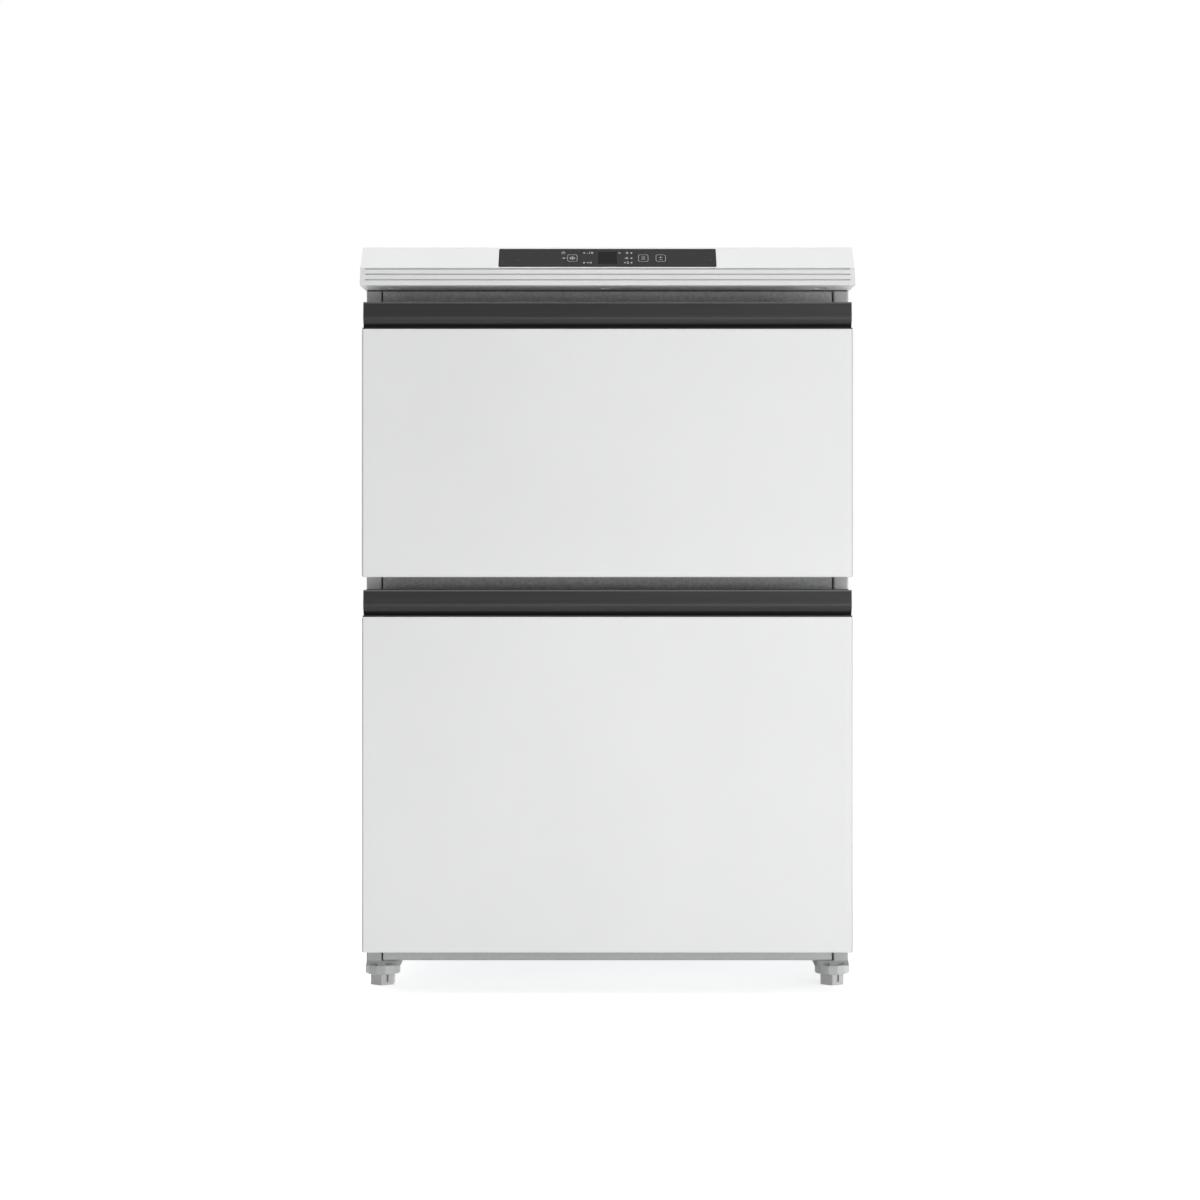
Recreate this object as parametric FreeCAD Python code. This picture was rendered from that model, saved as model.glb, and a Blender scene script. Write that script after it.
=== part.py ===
import FreeCAD, Part
import math
import os

from FreeCAD import Vector

os.makedirs("parts", exist_ok=True)

# Heights, from the floor up
foot_hex_height = 13.0
foot_disc_height = 11.0
foot_gap = 0.5
foot_bracket_height = 6.0
base_reveal = 18.5
lower_panel_height = 380.0
handle_height = 30.5
drawer_gap = 14.5
upper_panel_height = 281.0
top_gap = 18.5
cap_height = 46.0

# Widths and depths of the cabinet and of what stands in front of and behind it
cabinet_width = 556.0
drawer_front_depth = 46.0
gasket_depth = 13.7
gasket_gap = 0.3
cap_overhang_front = 5.0
cap_overhang_side = 2.0
spacer_depth = 20.0

# Steel cabinet: sheet, folds and the cross rails of the front frame
sheet = 1.2
base_sheet = 1.5
bend_radius = 1.0
flange_width = 17.5
flange_return = 10.0
rail_depth = 14.0
rail_end_gap = 1.8
seal_band = 22.0

# Plastic liners, foam and cooling plates
liner_wall = 2.0
liner_corner = 12.0
side_foam = 48.8
rear_foam = 51.3
bay_foam = 48.0
foam_gap = 0.3
bay_depth = 202.5
bay_head_gap = 12.8
evaporator_sheet = 1.5
evaporator_side_margin = 46.0
evaporator_margin = 22.0

# Top cap and control strip
cap_wall = 3.0
cap_draft = 1.0
cap_lip_height = 20.5
cap_lip_lean = 4.0
cap_slope_run = 30.5
cap_lip_radius = 1.5
cap_brow_radius = 6.0
cap_rear_radius = 4.0
groove_count = 3
groove_pitch = 6.25
groove_width = 1.7
groove_depth = 2.0
groove_end_margin = 5.5
groove_first_drop = 1.8
soffit_thickness = 2.5
soffit_lap = 12.0
soffit_gap = 0.3
cap_screw_inset = 33.0
cap_screw_setback = 42.5
screw_cup_radius = 7.0
screw_cup_depth = 6.0
screw_cup_wall = 1.8
screw_head_radius = 4.0
screw_head_height = 2.4
screw_shank_radius = 2.0
screw_length = 16.0
screw_clearance = 0.3
cap_boss_radius = 5.0
control_width = 246.5
control_margin = 0.8
control_thickness = 2.0
control_gap = 0.3
control_ledge = 4.0
control_corner = 2.0
control_post_radius = 2.5
control_post_length = 6.0
control_post_inset = 10.0
board_thickness = 1.6
window_width = 21.0
window_height = 24.0
window_depth = 0.8
window_gap = 0.1

# Drawer fronts
panel_edge_radius = 1.8
panel_corner_extra = 0.1
front_liner_thickness = 2.0
front_liner_inset = 1.0
plug_side_gap = 5.0
plug_reach = 3.5
plug_corner = 10.0
gasket_width = 12.0
gasket_neck_width = 5.0
gasket_root_depth = 3.0
gasket_bulb_depth = 6.0
gasket_inset = 9.0
gasket_corner = 8.0

# Handle extrusion along the top of each drawer front
handle_end_inset = 1.5
handle_lip_inset = 0.5
handle_lip_height = 1.5
handle_wall = 2.2
handle_front_edge = 0.9
handle_rear_edge = 0.4
handle_lean = 2.5
handle_roll_height = 10.0
handle_roll_depth = 9.0
handle_bulge_radius = 12.0
handle_roll_radius = 5.0
handle_fold_radius = 3.0
handle_cap_length = 3.0
handle_cap_gap = 0.1

# Telescopic rails
rail_height = 45.0
rail_length = 420.0
rail_thickness = 13.0
rail_sheet = 1.2
rail_running_gap = 0.5
rail_fold = 0.8
rail_front_gap = 12.5
rail_rear_gap = 13.0
rail_flange_inner = 8.0
upper_rail_drop = 72.0
lower_rail_drop = 56.0

# Bins and the brackets that carry them
bracket_sheet = 1.2
bracket_shelf_width = 11.2
bracket_shelf_rise = 1.5
bracket_tab_width = 30.0
bracket_foot_drop = 4.0
bin_wall = 2.5
bin_side_gap = 2.3
bin_taper = 4.5
bin_front_gap = 2.8
bin_rear_gap = 28.0
bin_floor_gap = 6.0
bin_well_gap = 8.0
bin_corner = 14.0
bin_rim_thickness = 3.0
bin_rim_side = 13.5
bin_rim_end = 2.0

# Feet and rear rollers
foot_inset_x = 17.0
foot_inset_y = 25.0
foot_disc_radius = 20.5
foot_disc_sides = 12
foot_disc_corner = 4.0
foot_disc_turn = 16.5
foot_disc_edge = 0.7
foot_hex_across = 26.4
foot_hex_turn = 3.0
foot_hex_corner = 1.5
foot_slot_width = 2.8
foot_slot_height = 9.3
foot_slot_depth = 3.0
foot_floor = 5.0
stud_radius = 5.0
stud_end_gap = 1.5
stud_gap = 0.3
stud_boss_radius = 9.0
stud_boss_height = 28.0
foot_bracket_inner = 39.0
foot_bracket_depth = 50.0
foot_bracket_corner = 6.0
foot_notch_width = 7.0
foot_notch_depth = 6.0
foot_notch_height = 3.2
foot_notch_spacing = 17.0
roller_radius = 14.0
roller_width = 18.0
roller_edge = 2.0
roller_hub_radius = 6.0
roller_rim_wall = 3.0
roller_recess = 3.0
roller_inset_x = 43.0
roller_inset_y = 37.5
roller_side_gap = 0.4
axle_radius = 3.0
axle_gap = 0.08
axle_head_radius = 5.0
axle_head_length = 2.0
roller_cheek = 2.0
roller_cheek_radius = 8.0
roller_cheek_corner = 4.8
roller_cheek_flange = 14.0

# Compressor, pipes and the condenser on the back; its passes are odd, so the tube ends at the compressor
compressor_radius = 75.0
compressor_height = 160.0
compressor_offset_x = -60.0
compressor_dome = 24.0
compressor_seam = 4.0
compressor_seam_height = 5.0
compressor_leg_thickness = 3.0
compressor_leg_spread_x = 84.0
compressor_leg_spread_y = 50.0
compressor_leg_margin = 12.0
mount_height = 14.0
mount_radius = 11.0
mount_bore = 4.0
mount_waist = 3.0
terminal_width = 50.0
terminal_height = 60.0
terminal_depth = 26.0
terminal_corner = 6.0
condenser_passes = 7
condenser_lap = 5.0
condenser_side_margin = 83.0
condenser_tube_radius = 2.5
condenser_standoff = 7.5
condenser_rise = 70.0
condenser_return_gap = 5.0
pipe_bend = 12.0
pipe_run = 8.0
pipe_gap = 0.3
pipe_hole_radius = 5.0
discharge_rise = 30.0
wire_radius = 0.8
wire_count = 10
wire_gap = 0.1
wire_margin = 20.0
clip_width = 14.0
clip_height = 16.0
clip_wall = 3.0
clip_gap = 0.3
spacer_width = 26.0
spacer_height = 60.0
spacer_corner = 6.0
spacer_drop = 60.0
spacer_inset = 30.0
drier_radius = 8.0
drier_length = 90.0
drier_neck_radius = 3.0
drier_neck_length = 14.0
drier_x = 120.0
drier_clip = 3.0
louvre_rows = 7
louvre_columns = 3
louvre_pitch = 17.0
louvre_height = 5.0
louvre_reach = 5.0
louvre_wall = 1.2
louvre_column_gap = 30.0
louvre_side_margin = 13.0
cover_screw_inset = 12.0
cover_screw_head_radius = 4.5
cover_screw_head_height = 2.0
inlet_radius = 10.0
inlet_bore = 4.0
inlet_flange = 14.0
inlet_flange_depth = 3.0
inlet_length = 14.0
inlet_inset = 43.0
inlet_rise = 30.0

# Levels and planes that follow from the sizes above
half_width = cabinet_width / 2
cavity_half_width = half_width - sheet - side_foam - liner_wall
cavity_depth = rail_front_gap + rail_length + rail_rear_gap
cabinet_depth = cavity_depth + liner_wall + rear_foam + sheet
front_depth = cap_overhang_front + drawer_front_depth + gasket_depth + gasket_gap
overall_depth = front_depth + cabinet_depth + spacer_depth
cap_front_y = -overall_depth / 2
panel_front_y = cap_front_y + cap_overhang_front
front_back_y = panel_front_y + drawer_front_depth
front_y = front_back_y + gasket_depth + gasket_gap
back_y = front_y + cabinet_depth
rail_back_y = front_y + rail_depth
inner_half = half_width - sheet
panel_corner_radius = panel_edge_radius + panel_corner_extra
frame_half = half_width - flange_width

foot_top_z = foot_hex_height + foot_disc_height
bottom_z = foot_top_z + foot_gap + foot_bracket_height
floor_z = bottom_z + base_sheet
lower_panel_z = bottom_z + base_reveal
lower_handle_z = lower_panel_z + lower_panel_height
upper_panel_z = lower_handle_z + handle_height + drawer_gap
upper_handle_z = upper_panel_z + upper_panel_height
soffit_z = upper_handle_z + handle_height + top_gap
top_z = soffit_z + cap_height

bottom_rail_top = lower_panel_z + seal_band
lower_floor_z = bottom_rail_top + liner_wall
middle_rail_bottom = lower_handle_z + handle_height - seal_band
lower_roof_z = middle_rail_bottom - liner_wall
middle_rail_top = upper_panel_z + seal_band
upper_floor_z = middle_rail_top + liner_wall
top_rail_bottom = upper_handle_z + handle_height - seal_band
upper_roof_z = top_rail_bottom - liner_wall
cavity_rear_y = front_y + cavity_depth
bay_front_y = back_y - bay_depth
well_rear_y = bay_front_y - bay_foam - liner_wall
leg_z = floor_z + mount_height
shell_low_z = leg_z + compressor_leg_thickness
bay_top_z = shell_low_z + compressor_height + bay_head_gap + sheet
well_step_z = bay_top_z + bay_foam + liner_wall

upper_steps = [(upper_floor_z, upper_roof_z, cavity_rear_y)]
lower_steps = [
    (lower_floor_z, lower_roof_z, well_rear_y),
    (well_step_z, lower_roof_z, cavity_rear_y),
]
upper_rail_z = upper_roof_z - upper_rail_drop
lower_rail_z = lower_roof_z - lower_rail_drop
bracket_face_x = cavity_half_width - rail_thickness
bracket_front_y = front_y + plug_reach
bin_half_width = bracket_face_x - bracket_sheet - bin_side_gap
bin_front_y = bracket_front_y + bracket_sheet + bin_front_gap
slide_front_y = front_y + rail_front_gap


def spot(axis, u, v, w):
    """Point at (u, v) of a section square to an axis, w along that axis."""
    return {"x": Vector(w, u, v), "y": Vector(u, w, v), "z": Vector(u, v, w)}[axis]


def outline(corners, axis, at):
    """Closed wire through (u, v, radius) corners, each rounded by its own radius."""
    points = [Vector(u, v) for u, v, _ in corners]
    stops = []
    for i, (_, _, radius) in enumerate(corners):
        corner = points[i]
        before = (points[i - 1] - corner).normalize()
        after = (points[(i + 1) % len(points)] - corner).normalize()
        if radius <= 0:
            stops.append((corner, None, corner))
            continue
        half_angle = before.getAngle(after) / 2
        reach = radius / math.tan(half_angle)
        inward = (before + after).normalize()
        middle = corner + inward * (radius / math.sin(half_angle) - radius)
        stops.append((corner + before * reach, middle, corner + after * reach))
    edges = []
    for i, (start, middle, end) in enumerate(stops):
        if middle:
            edges.append(Part.Arc(*[spot(axis, p.x, p.y, at) for p in (start, middle, end)]).toShape())
        following = stops[(i + 1) % len(stops)][0]
        if (following - end).Length > 1e-6:
            ends = [spot(axis, p.x, p.y, at) for p in (end, following)]
            edges.append(Part.makeLine(*ends))
    return Part.Wire(edges)


def extruded(corners, axis, start, end):
    """Prism of a rounded outline, from start to end along an axis."""
    return Part.Face(outline(corners, axis, start)).extrude(spot(axis, 0, 0, end - start))


def bent_sheet(path, thickness, bend, axis, start, end):
    """Sheet folded along an open path. It lies to the right of the path, or to the left if negative."""
    legs = [(Vector(*b) - Vector(*a)).normalize() for a, b in zip(path, path[1:])]
    sides = [Vector(leg.y, -leg.x) for leg in legs]
    near = [(*path[0], 0)]
    far = [(path[0][0] + sides[0].x * thickness, path[0][1] + sides[0].y * thickness, 0)]
    for i in range(1, len(path) - 1):
        u, v = path[i]
        mitre = (sides[i - 1] + sides[i]) * (thickness / (1 + sides[i - 1].dot(sides[i])))
        far_is_inside = legs[i - 1].cross(legs[i]).z * thickness < 0
        outside = bend + abs(thickness)
        near.append((u, v, outside if far_is_inside else bend))
        far.append((u + mitre.x, v + mitre.y, bend if far_is_inside else outside))
    near.append((*path[-1], 0))
    far.append((path[-1][0] + sides[-1].x * thickness, path[-1][1] + sides[-1].y * thickness, 0))
    return extruded(near + far[::-1], axis, start, end)


def block(x0, x1, y0, y1, z0, z1):
    """Plain block between its limits."""
    return Part.makeBox(x1 - x0, y1 - y0, z1 - z0, Vector(x0, y0, z0))


def rectangle(u0, u1, v0, v1, radius=0):
    """Corners of a rectangle, all with the same radius."""
    return [(u0, v0, radius), (u1, v0, radius), (u1, v1, radius), (u0, v1, radius)]


def cylinder(radius, axis, u, v, start, end):
    """Cylinder along an axis, through (u, v) of the section square to it."""
    return Part.makeCylinder(radius, end - start, spot(axis, u, v, start), spot(axis, 0, 0, 1))


def revolved(profile, x, y, axis="z"):
    """Body of revolution of (radius, height, corner radius) points about a line through (x, y)."""
    turned = Part.Face(outline(profile, "y", 0)).revolve(Vector(), Vector(0, 0, 1), 360)
    if axis == "x":
        turned.rotate(Vector(), Vector(0, 1, 0), 90)
    turned.translate(Vector(x, y, 0))
    return turned


def joined(shapes):
    """One solid out of pieces that meet."""
    whole = shapes[0]
    if len(shapes) > 1:
        whole = whole.multiFuse(shapes[1:])
    return whole.removeSplitter()


def mirrored(shape):
    """The same piece on the other side of the cabinet."""
    return shape.mirror(Vector(), Vector(1, 0, 0))


def save(name, *shapes):
    """Write the solids of one node."""
    solids = [solid for shape in shapes for solid in shape.Solids]
    node = solids[0] if len(solids) == 1 else Part.makeCompound(solids)
    node.exportStep(f"parts/{name}.step")


# Steel cabinet

def side_panel():
    """Right side sheet, with the front flange and its return folded in."""
    path = [
        (frame_half, front_y + flange_return),
        (frame_half, front_y),
        (half_width, front_y),
        (half_width, back_y),
    ]
    return bent_sheet(path, -sheet, bend_radius, "z", bottom_z, soffit_z)


def front_rail(low, high):
    """Channel across the front frame, open to the back, a little short of the side flanges."""
    path = [(rail_back_y, low), (front_y, low), (front_y, high), (rail_back_y, high)]
    end = frame_half - rail_end_gap
    return bent_sheet(path, base_sheet, bend_radius, "x", -end, end)


def base_plate():
    """Floor of the cabinet, with holes for the bosses of the front feet."""
    plate = block(-inner_half, inner_half, rail_back_y, back_y, bottom_z, floor_z)
    for x in (-foot_x, foot_x):
        plate = plate.cut(cylinder(stud_boss_radius + stud_gap, "z", x, foot_y, bottom_z, floor_z))
    return plate


def bay_wall():
    """Folded sheet that closes the compressor bay from the foam."""
    path = [(bay_front_y, floor_z), (bay_front_y, bay_top_z), (back_y - sheet, bay_top_z)]
    return bent_sheet(path, sheet, bend_radius, "x", -inner_half, inner_half)


def louvre_wedge(x, z, half, reach, height):
    """Three-cornered prism on the back of the rear cover, for the outside or the inside of a hood."""
    corners = [(back_y, z, 0), (back_y + reach, z, 0), (back_y, z + height, 0)]
    return extruded(corners, "x", x - half, x + half)


def rear_cover():
    """Sheet over the back of the compressor bay: hooded louvres, and holes for the pipes and the gland."""
    cover = block(-inner_half, inner_half, back_y - sheet, back_y, floor_z, bay_top_z)
    low = (floor_z + bay_top_z) / 2 - (louvre_rows - 1) * louvre_pitch / 2
    field = liquid_pipe_x - pipe_hole_radius - louvre_side_margin
    spacing = (2 * field + louvre_column_gap) / louvre_columns
    half = (spacing - louvre_column_gap) / 2
    inner_reach = louvre_reach - louvre_wall
    hood_height = louvre_height * louvre_reach / inner_reach
    hoods = []
    cuts = [cylinder(inlet_radius + foam_gap, "y", inlet_x, inlet_z, back_y - sheet, back_y)]
    for x, z in ((liquid_pipe_x, liquid_pipe_z), (discharge_pipe_x, discharge_pipe_z)):
        cuts.append(cylinder(pipe_hole_radius, "y", x, z, back_y - sheet, back_y))
    for column in range(louvre_columns):
        x = (column - (louvre_columns - 1) / 2) * spacing
        for row in range(louvre_rows):
            z = low + row * louvre_pitch
            hoods.append(louvre_wedge(x, z, half + louvre_wall, louvre_reach, hood_height))
            slot = rectangle(x - half, x + half, z, z + louvre_height)
            cuts.append(extruded(slot, "y", back_y - sheet, back_y))
            cuts.append(louvre_wedge(x, z, half, inner_reach, louvre_height))
    return joined([cover] + hoods).cut(Part.makeCompound(cuts))


def cover_screws():
    """Screw heads at the corners of the rear cover."""
    x = inner_half - cover_screw_inset
    levels = (floor_z + cover_screw_inset, bay_top_z - cover_screw_inset)
    end = back_y + cover_screw_head_height
    spots = [(side * x, z) for side in (-1, 1) for z in levels]
    return [cylinder(cover_screw_head_radius, "y", u, z, back_y, end) for u, z in spots]


def mains_inlet():
    """Cable gland in the rear cover, turned, with a free bore."""
    inside = back_y - inlet_length
    gland = cylinder(inlet_radius, "y", inlet_x, inlet_z, inside, back_y)
    flange = cylinder(inlet_flange, "y", inlet_x, inlet_z, back_y, back_y + inlet_flange_depth)
    bore = cylinder(inlet_bore, "y", inlet_x, inlet_z, inside, back_y + inlet_flange_depth)
    return joined([gland, flange]).cut(bore)


def wall_spacer(x):
    """Moulded post that keeps the back off the wall."""
    high = spacer_low_z + spacer_height
    post = rectangle(x - spacer_width / 2, x + spacer_width / 2, spacer_low_z, high, spacer_corner)
    return extruded(post, "y", back_y, back_y + spacer_depth)


# Liners, foam and cooling

def cavity(steps, grow):
    """Inside of a food compartment, grown outwards by a wall or a gap."""
    half = cavity_half_width + grow
    blocks = []
    for floor, roof, rear in steps:
        section = rectangle(-half, half, floor - grow, roof + grow, liner_corner + grow)
        blocks.append(extruded(section, "y", front_y, rear + grow))
    return joined(blocks)


def liner(steps):
    """Formed plastic liner with the flange that lies between the front rails."""
    low = steps[0][0] - liner_wall
    high = steps[0][1] + liner_wall
    flange = block(-frame_half, frame_half, front_y, front_y + liner_wall, low, high)
    return joined([cavity(steps, liner_wall), flange]).cut(cavity(steps, 0))


def evaporator(steps):
    """Cooling plate on the back of a liner, in the foam."""
    low = steps[-1][0] + evaporator_margin
    high = steps[-1][1] - evaporator_margin
    start = cavity_rear_y + liner_wall
    half = cavity_half_width - evaporator_side_margin
    return block(-half, half, start, start + evaporator_sheet, low, high)


def insulation():
    """Foam between the liners and the steel."""
    foam = block(-inner_half, inner_half, rail_back_y, back_y - sheet, floor_z, soffit_z - sheet)
    bay = block(-inner_half, inner_half, bay_front_y, back_y, floor_z, bay_top_z)
    gap = liner_wall + foam_gap
    cuts = [bay, cavity(upper_steps, gap), cavity(lower_steps, gap)]
    cuts += [evaporator(upper_steps), evaporator(lower_steps)]
    for x in (-foot_x, foot_x):
        cuts.append(cylinder(stud_boss_radius + stud_gap, "z", x, foot_y, bottom_z, stud_boss_top))
    for cut in cuts:
        foam = foam.cut(cut)
    return foam


# Top cap and control strip

cap_lip_top = (cap_front_y + cap_lip_lean, soffit_z + cap_lip_height)
cap_brow = (cap_lip_top[0] + cap_slope_run, top_z)
slope_angle = math.atan2(cap_brow[1] - cap_lip_top[1], cap_slope_run)
slope_length = math.hypot(cap_slope_run, cap_brow[1] - cap_lip_top[1])
control_rise = slope_length - cap_brow_radius * math.tan(slope_angle / 2) - 2 * control_margin
soffit_screw_y = cap_front_y + cap_screw_setback
cap_screw_x = half_width - cap_screw_inset


def on_slope(shape):
    """Move a piece drawn flat, with its top face at zero, onto the sloped face of the cap."""
    shape.rotate(Vector(), Vector(1, 0, 0), math.degrees(slope_angle))
    shape.translate(Vector(0, *cap_lip_top))
    return shape


def control_plate(grow, low, high):
    """Block of the control strip's outline, on the slope."""
    half = control_width / 2 + grow
    near = control_margin - grow
    far = control_margin + control_rise + grow
    plate = rectangle(-half, half, near, far, control_corner)
    return on_slope(extruded(plate, "z", low, high))


def lip_y(z):
    """Front of the leaning lip at a height."""
    return cap_front_y + cap_lip_lean * (z - soffit_z) / cap_lip_height


def lip_groove(row):
    """One long groove with round ends, cut into the lip from the front."""
    z = cap_lip_top[1] - groove_first_drop - row * groove_pitch
    half = half_width + cap_overhang_side - groove_end_margin
    reach = groove_width / 2
    slot = rectangle(-half, half, z - reach, z + reach, reach)
    return extruded(slot, "y", cap_front_y, lip_y(z) + groove_depth)


def top_cap():
    """Moulded top: leaning lip, sloped control face and flat worktop, hollow below."""
    half = half_width + cap_overhang_side
    path = [(cap_front_y, soffit_z), cap_lip_top, cap_brow, (back_y, top_z), (back_y, soffit_z)]
    radii = [0, cap_lip_radius, cap_brow_radius, cap_rear_radius, 0]
    section = [(y, z, radius) for (y, z), radius in zip(path, radii)]
    cap = extruded(section, "x", -half, half)
    for side in (-1, 1):
        foot_point = (side * half, soffit_z, 0)
        waste = [foot_point, (side * (half + cap_wall), top_z, 0), (side * (half - cap_draft), top_z, 0)]
        cap = cap.cut(extruded(waste, "y", cap_front_y, back_y))
    hollow = bent_hollow(path, radii)
    inner = extruded(hollow, "x", -half + cap_wall, half - cap_wall)
    cap = cap.cut(inner)
    for x in (-cap_screw_x, 0, cap_screw_x):
        boss = cylinder(cap_boss_radius, "z", x, soffit_screw_y, screw_cup_top, top_z - cap_wall)
        bore_radius = screw_shank_radius + screw_clearance
        bore = cylinder(bore_radius, "z", x, soffit_screw_y, screw_cup_top, screw_top + screw_clearance)
        cap = joined([cap, boss.common(extruded(section, "x", -half, half))]).cut(bore)
    for row in range(groove_count):
        cap = cap.cut(lip_groove(row))
    pocket = control_plate(control_gap, -control_thickness, cap_wall)
    window = control_plate(-control_ledge, -2 * cap_wall, 0)
    return cap.cut(pocket).cut(window)


def bent_hollow(path, radii):
    """Outline of the inside of the cap: its section moved in by the wall, open at the bottom."""
    legs = [(Vector(*b) - Vector(*a)).normalize() for a, b in zip(path, path[1:])]
    sides = [Vector(leg.y, -leg.x) for leg in legs]
    corners = [(path[0][0] + cap_wall / sides[0].x, path[0][1], 0)]
    for i in range(1, len(path) - 1):
        mitre = (sides[i - 1] + sides[i]) * (cap_wall / (1 + sides[i - 1].dot(sides[i])))
        corners.append((path[i][0] + mitre.x, path[i][1] + mitre.y, max(radii[i] - cap_wall, 0)))
    corners.append((path[-1][0] - cap_wall, path[-1][1], 0))
    return corners


screw_cup_top = soffit_z + screw_cup_depth + screw_cup_wall
screw_top = soffit_z + screw_cup_depth + screw_length


def cap_soffit():
    """Plate under the overhang of the cap, with a cup for each screw."""
    half = half_width + cap_overhang_side - cap_wall - soffit_gap
    lean = math.atan2(cap_lip_lean, cap_lip_height)
    top = soffit_z + soffit_thickness
    front = lip_y(top) + cap_wall / math.cos(lean) + soffit_gap
    plate = block(-half, half, front, front_y + soffit_lap, soffit_z, top)
    cup_end = soffit_z + screw_cup_depth
    cup_radius = screw_cup_radius + screw_cup_wall
    hole_radius = screw_shank_radius + screw_clearance
    holes = []
    for x in (-cap_screw_x, 0, cap_screw_x):
        plate = plate.fuse(cylinder(cup_radius, "z", x, soffit_screw_y, soffit_z, screw_cup_top))
        holes.append(cylinder(screw_cup_radius, "z", x, soffit_screw_y, soffit_z, cup_end))
        holes.append(cylinder(hole_radius, "z", x, soffit_screw_y, soffit_z, screw_cup_top))
    return joined([plate.cut(Part.makeCompound(holes))])


def cap_screw(x):
    """Pan-head screw, driven up through the soffit into a boss of the cap."""
    seat = soffit_z + screw_cup_depth
    profile = [
        (0, seat - screw_head_height, 0),
        (screw_head_radius - screw_head_height / 2, seat - screw_head_height, 0),
        (screw_head_radius, seat - screw_head_height / 2, 0),
        (screw_head_radius, seat, 0),
        (screw_shank_radius, seat, 0),
        (screw_shank_radius, screw_top, 0),
        (0, screw_top, 0),
    ]
    return revolved(profile, x, soffit_screw_y)


def control_panel():
    """Dark strip let into the slope, with a shallow seat for the display and posts for the board."""
    plate = control_plate(0, -control_thickness, 0)
    seat = display_window(window_gap, window_depth)
    posts = []
    x = control_width / 2 - control_ledge - control_post_inset
    for v in (control_margin + control_post_inset, control_margin + control_rise - control_post_inset):
        for u in (-x, x):
            end = -control_thickness - control_post_length
            post = cylinder(control_post_radius, "z", u, v, end, -control_thickness)
            posts.append(on_slope(post))
    return joined([plate] + posts).cut(seat)


def display_window(grow, depth):
    """Pane of the display in the middle of the control strip."""
    half = window_width / 2 + grow
    middle = control_margin + control_rise / 2
    reach = window_height / 2 + grow
    pane = rectangle(-half, half, middle - reach, middle + reach)
    return on_slope(extruded(pane, "z", -depth, 0))


def control_board():
    """Circuit board on the posts of the control strip."""
    half = control_width / 2 - control_ledge - control_gap
    low = control_margin + control_ledge + control_gap
    high = control_margin + control_rise - control_ledge - control_gap
    top = -control_thickness - control_post_length
    return on_slope(block(-half, half, low, high, top - board_thickness, top))


# Drawer fronts

def pan_block(inset, low, high, front, rear, edge, corner):
    """Block with rounded front edges and rounded corners, the form of a drawer front."""
    half = half_width - inset
    body = extruded(rectangle(-half, half, low, high, corner), "y", front, rear)
    rim = [e for e in body.Edges if abs(e.BoundBox.YMax - front) < 1e-6]
    return body.makeFillet(edge, rim)


def front_panel(low, height):
    """Steel pan of a drawer front, open at the back."""
    rear = front_back_y - front_liner_thickness
    outer = pan_block(0, low, low + height, panel_front_y, rear, panel_edge_radius, panel_corner_radius)
    inner = pan_block(
        sheet, low + sheet, low + height - sheet, panel_front_y + sheet, rear,
        panel_edge_radius - sheet, panel_corner_radius - sheet)
    return outer.cut(inner)


def plug_section(steps, inset):
    """Outline of the raised middle of a front liner, that reaches into the compartment."""
    half = cavity_half_width - plug_side_gap - inset
    low = steps[0][0] + plug_side_gap + inset
    high = steps[0][1] - plug_side_gap - inset
    return rectangle(-half, half, low, high, plug_corner - inset)


def front_liner(low, height, steps):
    """Plastic back of a drawer front: flat round the gasket, raised in the middle."""
    half = half_width - front_liner_inset
    start = front_back_y - front_liner_thickness
    top = low + height + handle_height - front_liner_inset
    plate = block(-half, half, start, front_back_y, low + front_liner_inset, top)
    plug_end = front_y + plug_reach
    plug = extruded(plug_section(steps, 0), "y", start, plug_end)
    hollow = plug_section(steps, front_liner_thickness)
    inside = extruded(hollow, "y", start, plug_end - front_liner_thickness)
    return joined([plate, plug]).cut(inside)


def front_core(low, height, steps):
    """Foam that fills a drawer front and the raised middle of its liner."""
    gap = sheet + foam_gap
    rear = front_back_y - front_liner_thickness
    body = pan_block(
        gap, low + gap, low + height - gap, panel_front_y + gap, rear,
        panel_edge_radius - sheet, panel_corner_radius - sheet)
    plug_end = front_y + plug_reach - front_liner_thickness - foam_gap
    plug = extruded(plug_section(steps, front_liner_thickness + foam_gap), "y", rear - sheet, plug_end)
    keep = block(-half_width, half_width, panel_front_y, front_y + plug_reach, low, low + height - gap)
    return joined([body, plug.common(keep)])


def gasket_ring(low, high, width, start, end):
    """One band of the gasket, centred on its line round the front."""
    middle = gasket_width / 2
    half = half_width - front_liner_inset - gasket_inset - middle
    bottom = low + gasket_inset + middle
    top = high - gasket_inset - middle
    reach = width / 2
    outer = rectangle(-half - reach, half + reach, bottom - reach, top + reach, gasket_corner + reach)
    inner = rectangle(-half + reach, half - reach, bottom + reach, top - reach, gasket_corner - reach)
    return extruded(outer, "y", start, end).cut(extruded(inner, "y", start, end))


def gasket(low, high):
    """Magnetic gasket: a root on the liner, a thin neck and the bulb that meets the cabinet."""
    root_end = front_back_y + gasket_root_depth
    end = front_back_y + gasket_depth
    bulb_start = end - gasket_bulb_depth
    return joined([
        gasket_ring(low, high, gasket_width, front_back_y, root_end),
        gasket_ring(low, high, gasket_neck_width, root_end, bulb_start),
        gasket_ring(low, high, gasket_width, bulb_start, end),
    ])


handle_front_y = panel_front_y
handle_rear_y = front_back_y - front_liner_thickness


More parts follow.
